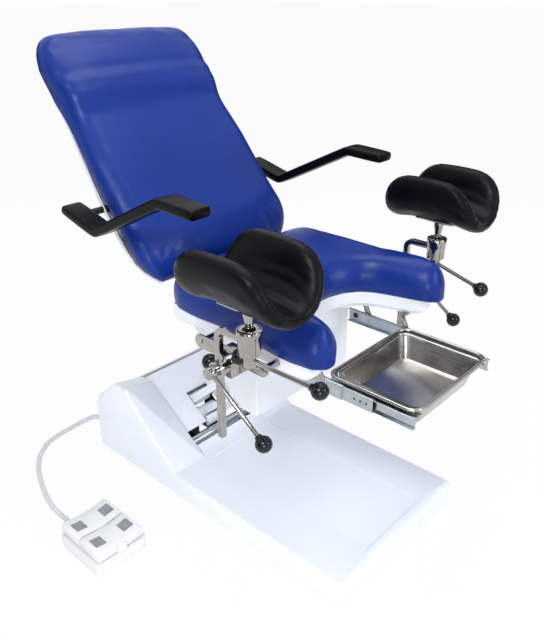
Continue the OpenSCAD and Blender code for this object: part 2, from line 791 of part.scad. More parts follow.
module back_cushion() {
    color(blue) in_back() skin([for (s = back_shares)
        back_section(back_width(s), back_start + back_len * s, back_rear + seat_gap, back_depth(s), 46)]);
}

// The moulded shell behind the cushion, a shallow pan with drawn-in rear edges
module back_pan(gap, y_front, y_rear) {
    skin([for (s = back_shares) let (w = back_width(s) - gap, z = back_start + gap + (back_len - 2 * gap) * s)
        [[w, -y_front, z], [w, -lerp(y_front, y_rear, 0.4), z], [w - back_shell_t, -y_rear, z],
         [-w + back_shell_t, -y_rear, z], [-w, -lerp(y_front, y_rear, 0.4), z], [-w, -y_front, z]]]);
}

module back_shell() {
    y_rear = back_rear - back_shell_t;
    inner_low = back_start + 3 * lug_t;
    color(white) in_back() difference() {
        back_pan(back_shell_inset, back_rear, y_rear);
        back_pan(back_shell_inset + shell_wall, back_rear + cut, y_rear + shell_wall);
        for (x = [-hinge_x - 2 * lug_t - 2 * lug_gap, hinge_x + lug_t])
            translate([x, -back_rear - cut, 0]) cube([lug_t + 2 * lug_gap, 2 * back_shell_t, inner_low + lug_d]);
        for (x = [-back_half_w, back_half_w])
            translate([x, arm_pivot_back, arm_pivot_along]) rotate([0, 90, 0])
                cylinder(h = back_half_w / 2, d = arm_pivot_d + 2 * cut, center = true, $fn = 48);
    }
}

// Welded frame inside the back: two side bars with hinge lugs, three cross bars and armrest sockets
module back_frame() {
    side_in = hinge_x + lug_t + lug_gap;
    y0 = -back_rear + seat_gap;
    long = back_len - 4 * lug_d;
    color(black) in_back() difference() {
        union() {
            for (x = [-side_in - lug_t, side_in]) {
                translate([x, y0, 0]) cube([lug_t, back_frame_t, long]);
                translate([x, 0, 0]) rotate([0, 90, 0]) cylinder(h = lug_t, d = lug_d - 8, $fn = 64);
            }
            for (bar = [[back_start + lug_d, back_top_half_w - 3 * lug_t],
                        [arm_pivot_along - lug_d / 2, back_half_w - 4 * lug_t], [long - lug_d, back_top_half_w - 3 * lug_t]])
                translate([-bar[1], y0, bar[0]]) cube([2 * bar[1], back_frame_t, lug_d]);
            for (side = [-1, 1]) on_side(side)
                translate([back_half_w - 6 * lug_t, arm_pivot_back, arm_pivot_along]) rotate([0, 90, 0])
                    cylinder(h = armrest_x + armrest_w - back_half_w + 6 * lug_t, d = arm_pivot_d - 2 * fit,
                             $fn = 64);
        }
        translate([-back_half_w, 0, 0]) rotate([0, 90, 0])
            cylinder(h = 2 * back_half_w, d = hinge_pin_d, $fn = 64);
    }
}

// Armrests

// Round-cornered section across a bar at a point of its line, square to the direction
function bar_section(p, dir, x_low, x_high, t, r, grow) =
    let (n = [-dir[1], dir[0]], mid = (x_low + x_high) / 2, w = (x_high - x_low) / 2 * grow, h = t / 2 * grow)
    [for (c = [[1, 1, 0], [-1, 1, 90], [-1, -1, 180], [1, -1, 270]]) for (a = [0, 45, 90])
        let (u = c[0] * (w - r) + r * cos(c[2] + a), v = c[1] * (h - r) + r * sin(c[2] + a))
        [mid + u, p[0] + n[0] * v, p[1] + n[1] * v]];

module armrest(side) {
    line = [for (p = armrest_line) [hinge_y + p[0], hinge_z + p[1]]];
    last = len(line) - 1;
    d = [for (k = [0 : last - 1]) unit(line[k + 1] - line[k])];
    bend = [for (k = [0 : last]) k == 0 ? d[0] : k == last ? d[last - 1] : unit(d[k - 1] + d[k])];
    x_high = armrest_x + armrest_w;
    body = [for (k = [0 : last]) bar_section(line[k], bend[k], armrest_x, x_high, armrest_t, armrest_r, 1)];
    start = bar_section(line[0] - d[0] * armrest_r, d[0], armrest_x, x_high, armrest_t, armrest_r, 0.74);
    stop = bar_section(line[last] + d[last - 1] * armrest_r, d[last - 1], armrest_x, x_high, armrest_t,
                       armrest_r, 0.74);
    pivot = [hinge_y + arm_pivot_along * cos(back_angle) + arm_pivot_back * sin(back_angle),
             hinge_z + arm_pivot_along * sin(back_angle) - arm_pivot_back * cos(back_angle)];
    color(black) on_side(side) difference() {
        skin(concat([start], body, [stop]));
        pin_x(armrest_x - cut, x_high + cut, pivot[0], pivot[1], arm_pivot_d);
    }
}

// Knee rests: every piece is drawn on the right and mirrored to the left

module rail(side) {
    z = rail_z;
    r = rail_h / 2;
    color(steel) on_side(side) {
        translate([rail_x, 0, 0]) rotate([90, 0, 90]) linear_extrude(rail_t) union() {
            translate([rail_front_y + r, z - r]) square([rail_rear_y - rail_front_y - rail_h, rail_h]);
            for (y = [rail_front_y + r, rail_rear_y - r]) translate([y, z]) circle(r = r, $fn = 64);
        }
        for (y = [spacer_front_y, spacer_rear_y]) {
            base_x_here = max(seat_side(y - spacer_d / 2), seat_side(y + spacer_d / 2)) - shell_inset;
            pin_x(base_x_here + 2 * seat_gap, rail_x, y, z, spacer_d);
            translate([rail_x + rail_t, y, z]) rotate([0, 90, 0])
                cylinder(h = spacer_bolt_h, d = spacer_bolt_d, $fn = 6);
        }
    }
}

// Jaw that slides on the rail, with a barrel for the tilting hub
module clamp(side) {
    jaw_in = rail_x - clamp_lip;
    slot = rail_h / 2 + post_fit;
    color(steel) on_side(side) difference() {
        union() {
            translate([jaw_in, hub_y - clamp_half, rail_z - clamp_h / 2])
                cube([barrel_in - jaw_in, 2 * clamp_half, clamp_h]);
            pin_x(barrel_in - cut, post_x - hub_w / 2 - post_fit, hub_y, hub_z, hub_d);
            translate([barrel_in - cut, hub_y - hub_d / 2, hub_z - clamp_h / 2])
                cube([post_x - hub_w / 2 - post_fit - barrel_in + cut, hub_d, clamp_h / 2]);
        }
        translate([rail_x - post_fit, hub_y - 2 * clamp_half, rail_z - slot])
            cube([rail_t + 2 * post_fit, 4 * clamp_half, 2 * slot]);
        translate([jaw_in - cut, hub_y - 2 * clamp_half, rail_z - slot / 2])
            cube([clamp_lip + 2 * cut, 4 * clamp_half, slot]);
        pin_x(barrel_in + clamp_lip / 2, post_x, hub_y, hub_z, barrel_d);
        translate([knob_x, hub_y, hub_z]) rotate([90 - knob_tilt, 0, 0])
            cylinder(h = hub_d, d = knob_stem_d, $fn = 48);
        translate([knob_x, hub_y, rail_knob_z]) rotate([-90, 0, 0])
            cylinder(h = hub_d, d = knob_stem_d, $fn = 48);
    }
}

// Hub that tilts in the barrel and holds the post
module hub(side) {
    x_low = post_x - hub_w / 2;
    hole = post_side + 2 * post_fit;
    color(steel) on_side(side) difference() {
        union() {
            pin_x(x_low, x_low + hub_w, hub_y, hub_z, hub_d);
            pin_x(barrel_in + clamp_lip / 2 + post_fit, x_low + cut, hub_y, hub_z, barrel_d - 2 * fit);
        }
        translate([post_x - hole / 2, hub_y - hole / 2, hub_z - hub_d]) cube([hole, hole, 2 * hub_d]);
        pin_x(post_x, post_x + hub_w, hub_y, hub_z, screw_d);
    }
}

// Bent square post with the ball cup on its front end
module post(side) {
    half = post_side / 2;
    arm_start = hub_y - post_bend;
    color(steel) on_side(side) difference() {
        union() {
            translate([post_x - half, hub_y - half, post_bottom_z])
                cube([post_side, post_side, post_top_z - post_bend - post_bottom_z]);
            translate([post_x, arm_start, post_top_z - post_bend]) rotate([90, 0, 90])
                rotate_extrude(angle = 90, $fn = 64)
                    translate([post_bend, 0]) square([post_side, post_side], center = true);
            translate([post_x - half, cup_y, post_top_z - half]) cube([post_side, arm_start - cup_y, post_side]);
            translate([post_x, cup_y, cup_low_z]) cylinder(h = cup_step_z - cup_low_z, d = cup_d - 2 * cut, $fn = 64);
            translate([post_x, cup_y, cup_step_z]) cylinder(h = cup_high_z - cup_step_z, d = cup_d, $fn = 64);
        }
        translate([post_x, cup_y, cup_ball_z]) sphere(d = cup_ball_d + 2 * fit, $fn = 64);
        translate([post_x, cup_y, cup_ball_z]) cylinder(h = cup_d, d = cup_mouth_d, $fn = 64);
        translate([post_x, cup_y, cup_low_z - cut]) cylinder(h = cup_d / 2, d = screw_d, $fn = 64);
    }
}

module ball_stem(side) {
    strap_low = saddle_low_z - seat_gap - strap_t;
    color(steel) on_side(side) translate([post_x, cup_y, 0]) {
        translate([0, 0, cup_ball_z]) sphere(d = cup_ball_d, $fn = 64);
        translate([0, 0, cup_ball_z]) cylinder(h = cup_high_z + cup_mouth_d / 4 - cup_ball_z, d = stem_low_d, $fn = 64);
        translate([0, 0, cup_high_z + cup_mouth_d / 4])
            cylinder(h = stem_top_z - cup_high_z - cup_mouth_d / 4, d1 = stem_low_d, d2 = stem_high_d, $fn = 64);
        translate([0, 0, stem_top_z]) cylinder(h = strap_low - seat_gap - stem_top_z, d = stem_high_d, $fn = 64);
    }
}

// A point on the pad's curved section, by its angle from the bottom and its distance out of the middle surface
function saddle_point(angle, out) =
    [post_x + (saddle_w / 2 - saddle_t / 2 + out) * sin(angle),
     saddle_low_z + saddle_t / 2 + saddle_radius - (saddle_radius + out) * cos(angle)];

module saddle_strap(side) {
    out = saddle_t / 2 + seat_gap;
    span = [-28 : 7 : 28];
    curve = concat([for (a = span) saddle_point(a, out)], [for (a = span) saddle_point(-a, out + strap_t)]);
    color(steel) on_side(side) difference() {
        translate([0, cup_y + strap_len / 2, 0]) rotate([90, 0, 0]) linear_extrude(strap_len) polygon(curve);
        translate([post_x, cup_y, saddle_low_z - strap_t - cut * 2])
            cylinder(h = strap_t + cut * 2, d = knob_stem_d, $fn = 48);
    }
}

// Trough-shaped pad: sections along Y whose lobes shorten and thin towards both ends
module saddle(side) {
    steps = saddle_sections;
    span = 8;
    sections = [for (j = [0 : steps])
        let (s = sin(180 * j / steps - 90), reach = saddle_reach * (0.12 + 0.88 * sqrt(max(0, 1 - pow(abs(s), 4)))),
             t = saddle_t / 2 * (0.3 + 0.7 * sqrt(max(0, 1 - pow(abs(s), 6)))), y = cup_y + s * saddle_len / 2)
        [for (p = concat(
            [for (k = [0 : span]) saddle_point(reach * (2 * k / span - 1), t)],
            [for (a = [45, 90, 135]) saddle_point(reach + rim_angle * sin(a), t * cos(a))],
            [for (k = [span : -1 : 0]) saddle_point(reach * (2 * k / span - 1), -t)],
            [for (a = [135, 90, 45]) saddle_point(-reach - rim_angle * sin(a), t * cos(a))]))
            [p[0], y, p[1]]]];
    color(black) on_side(side) skin(sections);
}

// Nut and screw under the cup with a slanted lever
module ball_lever(side) {
    top = cup_low_z - seat_gap;
    middle = [post_x, cup_y, top - nut_h / 2];
    reach = ball_lever_len * [-sin(ball_lever_turn), -cos(ball_lever_turn), 0];
    tip = middle + reach + [0, 0, -ball_lever_drop];
    on_side(side) {
        color(steel) {
            translate([post_x, cup_y, top - nut_h]) cylinder(h = nut_h, d = nut_d, $fn = 64);
            translate([post_x, cup_y, top - cut])
                cylinder(h = cup_ball_z - cup_ball_d / 2 - top + cut - seat_gap, d = screw_d - 2 * fit, $fn = 64);
            rod(middle, tip, rod_d);
        }
        color(black) translate(tip) sphere(d = ball_d, $fn = 64);
    }
}

// Nut on the hub's outer end with a slanted lever
module clamp_lever(side) {
    x_low = post_x + hub_w / 2 + seat_gap;
    middle = [clamp_lever_x, hub_y, hub_z];
    tip = [clamp_lever_x, clamp_lever_y, clamp_lever_z];
    on_side(side) {
        color(steel) {
            pin_x(x_low, clamp_lever_x + rod_d, hub_y, hub_z, nut_d);
            pin_x(post_x + post_side / 2 + seat_gap + post_fit, x_low + cut, hub_y, hub_z, screw_d - 2 * fit);
            rod(middle, tip, rod_d);
        }
        color(black) translate(tip) sphere(d = ball_d, $fn = 64);
    }
}

// Ball knob on a screw along a slanted or a level line
module post_knob(side) {
    start = barrel_d / 2 + 2 * seat_gap;
    on_side(side) translate([knob_x, hub_y, hub_z]) rotate([90 - knob_tilt, 0, 0]) {
        color(steel) translate([0, 0, start]) cylinder(h = knob_reach - start, d = knob_stem_d - 2 * fit, $fn = 48);
        color(black) translate([0, 0, knob_reach]) sphere(d = ball_d, $fn = 64);
    }
}

module rail_knob(side) {
    on_side(side) translate([knob_x, hub_y, rail_knob_z]) rotate([-90, 0, 0]) {
        color(steel) translate([0, 0, knob_stem_d]) cylinder(h = rail_knob_reach - knob_stem_d,
                                                            d = knob_stem_d - 2 * fit, $fn = 48);
        color(black) translate([0, 0, rail_knob_reach]) sphere(d = ball_d, $fn = 64);
    }
}

// Tray and its slides

// A ring of points round a rectangle with round corners
function rect_ring(w, y_low, y_high, r, z) =
    [for (c = [[1, 1, 0], [-1, 1, 90], [-1, -1, 180], [1, -1, 270]]) for (a = [0 : 18 : 90])
        [c[0] * (w - r) + r * cos(c[2] + a),
         (c[1] > 0 ? y_high - r : y_low + r) + r * sin(c[2] + a), z]];

module tray_bowl(g, z_top) {
    w = tray_w / 2 - rim_w - g;
    y_low = tray_rear_y - tray_len + rim_w + g;
    y_high = tray_rear_y - rim_w - g;
    low = tray_z - tray_h + g;
    in_low = tray_draft;
    skin([rect_ring(w - in_low - tray_edge, y_low + in_low + tray_edge, y_high - in_low - tray_edge,
                    tray_r - tray_edge, low),
          rect_ring(w - in_low - tray_edge * 0.3, y_low + in_low + tray_edge * 0.3, y_high - in_low - tray_edge * 0.3,
                    tray_r - tray_edge * 0.3, low + tray_edge * 0.3),
          rect_ring(w - in_low, y_low + in_low, y_high - in_low, tray_r, low + tray_edge),
          rect_ring(w, y_low, y_high, tray_r, z_top)]);
}

module tray() {
    x = tray_w / 2;
    front = tray_rear_y - tray_len;
    r = tray_r + rim_w;
    color(steel) difference() {
        union() {
            tray_bowl(0, tray_z);
            rounded_plate(-x, x, front, tray_rear_y, tray_z - rim_d, rim_d, r);
        }
        tray_bowl(tray_sheet, tray_z + cut);
        difference() {
            rounded_plate(-x + tray_sheet, x - tray_sheet, front + tray_sheet, tray_rear_y - tray_sheet,
                          tray_z - rim_d - cut, rim_d + cut - tray_sheet, r - tray_sheet);
            tray_bowl(0, tray_z + cut);
        }
    }
}

// A folded channel pulled along Y with its web at x_web and its flanges towards x_open
module channel(x_web, x_open, half, y_low, length) {
    s = x_open > x_web ? slide_sheet : -slide_sheet;
    translate([0, y_low + length, slide_z]) rotate([90, 0, 0]) linear_extrude(length)
        polygon([[x_web, -half], [x_open, -half], [x_open, -half + slide_sheet], [x_web + s, -half + slide_sheet],
                 [x_web + s, half - slide_sheet], [x_open, half - slide_sheet], [x_open, half], [x_web, half]]);
}

module slide_outer(side) {
    color(zinc) on_side(side)
        channel(slide_x, slide_x - slide_deep, slide_h / 2, outer_rear_y - outer_len, outer_len);
}

module slide_middle(side) {
    web = slide_x - slide_sheet - slide_play;
    half = slide_h / 2 - slide_sheet - slide_play;
    color(zinc) on_side(side) difference() {
        channel(web, slide_x - slide_deep, half, middle_rear_y - middle_len, middle_len);
        for (k = [1 : 3]) translate([web - slide_deep / 2, middle_rear_y - middle_len + k * half, slide_z])
            rotate([0, 90, 0]) cylinder(h = slide_deep, d = slide_sheet * 4, $fn = 32);
    }
}

// Innermost member with the ledge that carries the tray's rim
module slide_inner(side) {
    half = slide_h / 2 - 2 * slide_sheet - 2 * slide_play;
    open = slide_x - 2 * slide_sheet - 2 * slide_play;
    web = slide_x - slide_deep - slide_sheet - slide_play;
    ledge_z = tray_z - rim_d - seat_gap;
    ledge_x = tray_w / 2 - rim_w + seat_gap * 2;
    color(zinc) on_side(side) {
        channel(web, open, half, inner_rear_y - inner_len, inner_len);
        translate([ledge_x, inner_rear_y - inner_len, ledge_z - slide_sheet])
            cube([web + slide_sheet - ledge_x, inner_len, slide_sheet]);
    }
}

// Flat bars that carry the outer members from under the seat shell
module slide_hangers() {
    top = shell_z - seat_gap;
    low = slide_z - slide_h / 4;
    color(steel) for (side = [-1, 1]) on_side(side) for (y = [hanger_front_y, hanger_rear_y]) {
        along_x([[y - hanger_lean, low], [y - hanger_lean + hanger_w, low], [y + hanger_w, top], [y, top]],
                slide_x, slide_x + hanger_t);
        translate([slide_x, y, top - hanger_t]) cube([hanger_foot, hanger_w, hanger_t]);
    }
}

// Foot switch

foot_high_x = foot_x - foot_w;
foot_mid_x = foot_x - foot_w / 2;
foot_pin_z = foot_base_h + 3 * pedal_gap;
foot_ear = pedal_gap;
foot_mid_y = foot_y + foot_len / 2;

module foot_switch_housing() {
    color(white) difference() {
        union() {
            rounded_plate(foot_high_x, foot_x, foot_y, foot_y + foot_len, 0, foot_base_h, foot_r);
            for (y = [foot_y, foot_mid_y - foot_ear / 2, foot_y + foot_len - foot_ear])
                translate([foot_mid_x - foot_r, y, foot_base_h - cut])
                    cube([2 * foot_r, foot_ear, foot_pin_z + pedal_pin_d + cut - foot_base_h]);
            translate([foot_mid_x, foot_y, foot_pin_z]) rotate([-90, 0, 0])
                cylinder(h = foot_len, d = pedal_pin_d - 2 * fit, $fn = 48);
        }
        translate([foot_mid_x, foot_y - cut, foot_base_h - pedal_gap]) rotate([-90, 0, 0]) linear_extrude(foot_ear / 2)
            square([foot_w / 2, pedal_gap / 3], center = true);
    }
}

// Rocker pedal with two sloped treads
module pedal(y_low, y_high) {
    half = foot_w / 2 - foot_inset;
    base = foot_base_h + pedal_lift;
    top = base + pedal_h;
    color(white) difference() {
        translate([foot_mid_x, y_high, 0]) rotate([90, 0, 0]) linear_extrude(y_high - y_low)
            polygon([[-half, base], [-half, top - pedal_rise], [-half + pedal_rise, top], [-foot_r, top - pedal_rise],
                     [foot_r, top - pedal_rise], [half - pedal_rise, top], [half, top - pedal_rise], [half, base],
                     [foot_r, base - pedal_lift / 2], [-foot_r, base - pedal_lift / 2]]);
        translate([foot_mid_x, y_low - cut, foot_pin_z]) rotate([-90, 0, 0])
            cylinder(h = y_high - y_low + 2 * cut, d = pedal_pin_d, $fn = 48);
    }
}

module pedal_rear() {
    pedal(foot_mid_y + foot_ear / 2 + 2 * seat_gap, foot_y + foot_len - foot_ear - 2 * seat_gap);
}

module pedal_front() {
    pedal(foot_y + foot_ear + 2 * seat_gap, foot_mid_y - foot_ear / 2 - 2 * seat_gap);
}

// Hose and cable

// Smooth curve through the route's points, then its length so far at each step
function curve_point(p, k, t) =
    let (n = len(p) - 1, a = p[max(0, k - 1)], b = p[k], c = p[min(n, k + 1)], d = p[min(n, k + 2)])
    0.5 * ((2 * b) + (c - a) * t + (2 * a - 5 * b + 4 * c - d) * t * t + (3 * b - a - 3 * c + d) * t * t * t);
function curve(p) = concat([for (k = [0 : len(p) - 2]) for (t = [0 : 0.2 : 0.9]) curve_point(p, k, t)],
                           [p[len(p) - 1]]);
function lengths(p, k = 0, sum = 0) = k == len(p) - 1 ? [sum] :
    concat([sum], lengths(p, k + 1, sum + norm(p[k + 1] - p[k])));
function at(p, l, s) = [for (axis = [0 : 2]) lookup(s, [for (k = [0 : len(p) - 1]) [l[k], p[k][axis]]])];

function tube_ring(middle, dir, r, sides) =
    let (side = unit(cross(dir, [0, 0, 1])), up = cross(side, dir))
    [for (k = [0 : sides - 1]) let (a = 360 * (k + 0.5) / sides) middle + r * cos(a) * side + r * sin(a) * up];

// Tube along a route, with its radius at each of its rings
module tube(route, radii, sides) {
    p = curve(route);
    l = lengths(p);
    total = l[len(l) - 1];
    last = len(radii) - 1;
    e = total / last / 2;
    skin([for (k = [0 : last]) let (s = total * k / last)
        tube_ring(at(p, l, s), k == 0 ? unit(route[1] - route[0]) :
            k == last ? unit(route[len(route) - 1] - route[len(route) - 2]) :
            unit(at(p, l, s + e) - at(p, l, s - e)), radii[k], sides)]);
}

hose_shape = concat([hose_d / 2], [for (k = [1 : hose_ribs]) each [hose_d / 2 - hose_rib_depth, hose_d / 2]]);
bore_steps = 56;
hose_curve = curve(hose_route);
hose_total = lengths(hose_curve)[len(hose_curve) - 1];
echo(hose_length = hose_total);

module hose() {
    color(white) difference() {
        tube(hose_route, hose_shape, 8);
        tube(hose_bore_route, [for (k = [0 : bore_steps]) hose_bore / 2], 8);
    }
}

module cable() {
    color([0.85, 0.85, 0.86]) tube(cable_route, [for (k = [0 : cable_rings]) cable_d / 2], 8);
}

module hose_gland() {
    y = base_y;
    x = hose_route[0][0];
    z = hose_route[0][2];
    color(white) translate([x, y, z]) rotate([-90, 0, 0]) difference() {
        union() {
            cylinder(h = gland_flange, d = gland_d, $fn = 48);
            cylinder(h = gland_len, d = gland_d - 2 * gland_flange, $fn = 48);
            translate([0, 0, -2 * cover_wall]) cylinder(h = 2 * cover_wall + cut, d = gland_hole_d - 2 * fit, $fn = 48);
        }
        translate([0, 0, -3 * cover_wall]) cylinder(h = gland_len + 4 * cover_wall, d = hose_bore, $fn = 48);
    }
}

base_frame();
base_cover();
slot_cover_upper();
slot_cover_lower();
slot_tube();
lift_pins_low();
lift_arm();
lift_link();
carriage_frame();
lift_pins_high();
belly_cover();
seat_shell();
seat_cushion();
back_hinge_pins();
back_frame();
back_shell();
back_cushion();
armrest(-1);  // armrest_left
armrest(1);  // armrest_right
rail(-1);  // rail_left
rail(1);  // rail_right
clamp(-1);  // clamp_left
clamp(1);  // clamp_right
hub(-1);  // hub_left
hub(1);  // hub_right
post(-1);  // post_left
post(1);  // post_right
ball_stem(-1);  // ball_stem_left
ball_stem(1);  // ball_stem_right
saddle_strap(-1);  // saddle_strap_left
saddle_strap(1);  // saddle_strap_right
saddle(-1);  // saddle_left
saddle(1);  // saddle_right
ball_lever(-1);  // ball_lever_left
ball_lever(1);  // ball_lever_right
clamp_lever(-1);  // clamp_lever_left
clamp_lever(1);  // clamp_lever_right
post_knob(-1);  // post_knob_left
post_knob(1);  // post_knob_right
rail_knob(-1);  // rail_knob_left
rail_knob(1);  // rail_knob_right
tray();
slide_outer(-1);  // slide_outer_left
slide_outer(1);  // slide_outer_right
slide_middle(-1);  // slide_middle_left
slide_middle(1);  // slide_middle_right
slide_inner(-1);  // slide_inner_left
slide_inner(1);  // slide_inner_right
slide_hangers();
foot_switch_housing();
pedal_rear();
pedal_front();
hose_gland();
hose();
cable();
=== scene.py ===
"""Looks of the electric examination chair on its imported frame.

Metres, Z up, the foot end towards -Y, the chair's middle plane at x = 0.
"""
import math

import bmesh
import bpy
import numpy as np
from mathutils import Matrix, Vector


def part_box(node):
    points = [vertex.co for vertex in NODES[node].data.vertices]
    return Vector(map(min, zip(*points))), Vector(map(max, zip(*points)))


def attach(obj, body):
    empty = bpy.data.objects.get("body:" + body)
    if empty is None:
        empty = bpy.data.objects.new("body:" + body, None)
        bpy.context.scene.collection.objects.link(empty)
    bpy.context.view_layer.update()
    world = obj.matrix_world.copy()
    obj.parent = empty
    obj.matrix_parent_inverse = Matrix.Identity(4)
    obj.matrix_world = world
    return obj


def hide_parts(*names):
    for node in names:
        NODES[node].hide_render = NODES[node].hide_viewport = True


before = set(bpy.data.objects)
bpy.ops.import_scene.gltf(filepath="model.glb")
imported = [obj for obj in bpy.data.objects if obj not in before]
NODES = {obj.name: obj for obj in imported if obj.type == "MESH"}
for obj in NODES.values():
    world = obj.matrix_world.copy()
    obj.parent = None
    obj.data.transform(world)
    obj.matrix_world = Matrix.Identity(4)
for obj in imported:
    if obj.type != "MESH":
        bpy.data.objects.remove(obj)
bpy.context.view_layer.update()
SIDES = (("left", -1), ("right", 1))

# ---------------------------------------------------------------- camera at the photograph's place

CAMERA_PLACE = (-1.4282, -1.3362, 1.5604)
CAMERA_TILT, CAMERA_TURN = math.radians(63.56), math.radians(-47.63)

cam_data = bpy.data.cameras.new("camera")
cam_data.sensor_width = 36
cam_data.lens = 38.83
cam_data.dof.use_dof = False
camera = bpy.data.objects.new("camera", cam_data)
bpy.context.scene.collection.objects.link(camera)
camera.location = CAMERA_PLACE
camera.rotation_euler = (CAMERA_TILT, 0, CAMERA_TURN)
bpy.context.scene.camera = camera


# ---------------------------------------------------------------- mesh helpers

def add_object(name, me, material=None, smooth=True):
    if smooth:
        me.shade_smooth()
    if material:
        me.materials.append(material)
    ob = bpy.data.objects.new(name, me)
    bpy.context.scene.collection.objects.link(ob)
    return ob


def mesh_object(name, verts, faces, material=None, smooth=True):
    me = bpy.data.meshes.new(name)
    me.from_pydata([tuple(v) for v in verts], [], faces)
    me.validate()
    me.update()
    return add_object(name, me, material, smooth)


def from_bmesh(name, bm, material=None):
    bmesh.ops.recalc_face_normals(bm, faces=bm.faces)
    me = bpy.data.meshes.new(name)
    bm.to_mesh(me)
    bm.free()
    return add_object(name, me, material)


def evaluated_mesh(ob):
    dg = bpy.context.evaluated_depsgraph_get()
    return bpy.data.meshes.new_from_object(ob.evaluated_get(dg))


def geometry_group(name):
    """A new node group from geometry to geometry, with its input and output nodes."""
    g = bpy.data.node_groups.new(name, "GeometryNodeTree")
    for way in ("INPUT", "OUTPUT"):
        g.interface.new_socket("Geometry", in_out=way, socket_type="NodeSocketGeometry")
    return g, g.nodes.new("NodeGroupInput"), g.nodes.new("NodeGroupOutput")


def smooth_group(degrees):
    """A node group that shades smooth up to an angle and keeps steeper edges sharp."""
    g, a, z = geometry_group("smooth_by_angle")
    face, edge = g.nodes.new("GeometryNodeSetShadeSmooth"), g.nodes.new("GeometryNodeSetShadeSmooth")
    face.domain, edge.domain = "FACE", "EDGE"
    angle, more = g.nodes.new("GeometryNodeInputMeshEdgeAngle"), g.nodes.new("FunctionNodeCompare")
    more.data_type, more.operation = "FLOAT", "GREATER_THAN"
    more.inputs[1].default_value = math.radians(degrees)
    edge.inputs["Shade Smooth"].default_value = False
    g.links.new(a.outputs[0], face.inputs["Geometry"])
    g.links.new(face.outputs[0], edge.inputs["Geometry"])
    g.links.new(angle.outputs[0], more.inputs[0])
    g.links.new(more.outputs[0], edge.inputs["Selection"])
    g.links.new(edge.outputs[0], z.inputs[0])
    return g


def weld_group():
    """A node group that welds what the import split."""
    g, a, z = geometry_group("weld_import")
    drop, merge = g.nodes.new("GeometryNodeRemoveAttribute"), g.nodes.new("GeometryNodeMergeByDistance")
    drop.inputs["Name"].default_value = "custom_normal"
    merge.inputs["Distance"].default_value = 0.00002
    g.links.new(a.outputs[0], drop.inputs["Geometry"])
    g.links.new(drop.outputs[0], merge.inputs["Geometry"])
    g.links.new(merge.outputs[0], z.inputs[0])
    return g


SHARP = 32  # degrees between faces from which an edge counts as sharp
WELD, SMOOTH = weld_group(), smooth_group(SHARP)


def nodes_modifier(ob, name, group):
    m = ob.modifiers.new(name, "NODES")
    m.node_group = group


def bevel(ob, width, degrees=SHARP):
    m = ob.modifiers.new("bevel", "BEVEL")
    m.width = width
    m.segments = 2
    m.limit_method = "ANGLE"
    m.angle_limit = math.radians(degrees)


def subdivided(ob):
    m = ob.modifiers.new("subdivision", "SUBSURF")
    m.levels = m.render_levels = 1


def dress(node, material, edge):
    """A carried-over CAD node: its material, softened edges and clean shading, all by modifiers."""
    ob = NODES[node]
    slots = ob.data.materials
    if len(slots):
        for k in range(len(slots)):
            slots[k] = material
    else:
        slots.append(material)
    nodes_modifier(ob, "weld", WELD)
    if edge:
        planar = ob.modifiers.new("planar", "DECIMATE")
        planar.decimate_type = "DISSOLVE"
        planar.angle_limit = math.radians(1.2)
        bevel(ob, edge)
    nodes_modifier(ob, "smooth", SMOOTH)


def skin(rows, count):
    """Faces between rows of points, each row a closed loop of count points."""
    faces = []
    for k in range(rows - 1):
        for j in range(count):
            a, b = k * count + j, k * count + (j + 1) % count
            faces.append((a, b, b + count, a + count))
    return faces


def caps(rows, count):
    """The first row's face, turned outwards, and the last row's."""
    return [tuple(range(count - 1, -1, -1)), tuple((rows - 1) * count + j for j in range(count))]


def tube_mesh(name, path, radius, sides, material):
    """A tube along points; radius is a number or one for each point."""
    p = np.array(path, float)
    n = len(p)
    r = np.full(n, radius, float) if np.isscalar(radius) else np.array(radius, float)
    tangent = np.gradient(p, axis=0)
    tangent /= np.linalg.norm(tangent, axis=1)[:, None]
    up = np.array([0, 0, 1.0]) if abs(tangent[0][2]) < 0.9 else np.array([1.0, 0, 0])
    side = np.cross(tangent[0], up)
    side /= np.linalg.norm(side)
    verts = []
    for k in range(n):
        side = side - tangent[k] * (side @ tangent[k])
        side /= np.linalg.norm(side)
        other = np.cross(tangent[k], side)
        for j in range(sides):
            a = 2 * math.pi * j / sides
            verts.append(p[k] + r[k] * (math.cos(a) * side + math.sin(a) * other))
    return mesh_object(name, verts, skin(n, sides) + caps(n, sides), material)


def lathe(name, profile, origin, axis, material, sides=40, ring=False):
    """Turns (radius, height) points about an axis from an origin, capped at both ends or closed as a ring."""
    rot = Vector((0, 0, 1)).rotation_difference(Vector(axis).normalized()).to_matrix()
    verts = []
    for r, h in profile:
        for j in range(sides):
            a = 2 * math.pi * j / sides
            verts.append(Vector(origin) + rot @ Vector((r * math.cos(a), r * math.sin(a), h)))
    rows = len(profile)
    faces = skin(rows, sides)
    if ring:
        top = (rows - 1) * sides
        faces += [(top + j, top + (j + 1) % sides, (j + 1) % sides, j) for j in range(sides)]
    else:
        faces += caps(rows, sides)
    ob = mesh_object(name, verts, faces, material)
    nodes_modifier(ob, "smooth", SMOOTH)
    return ob


# ---------------------------------------------------------------- materials

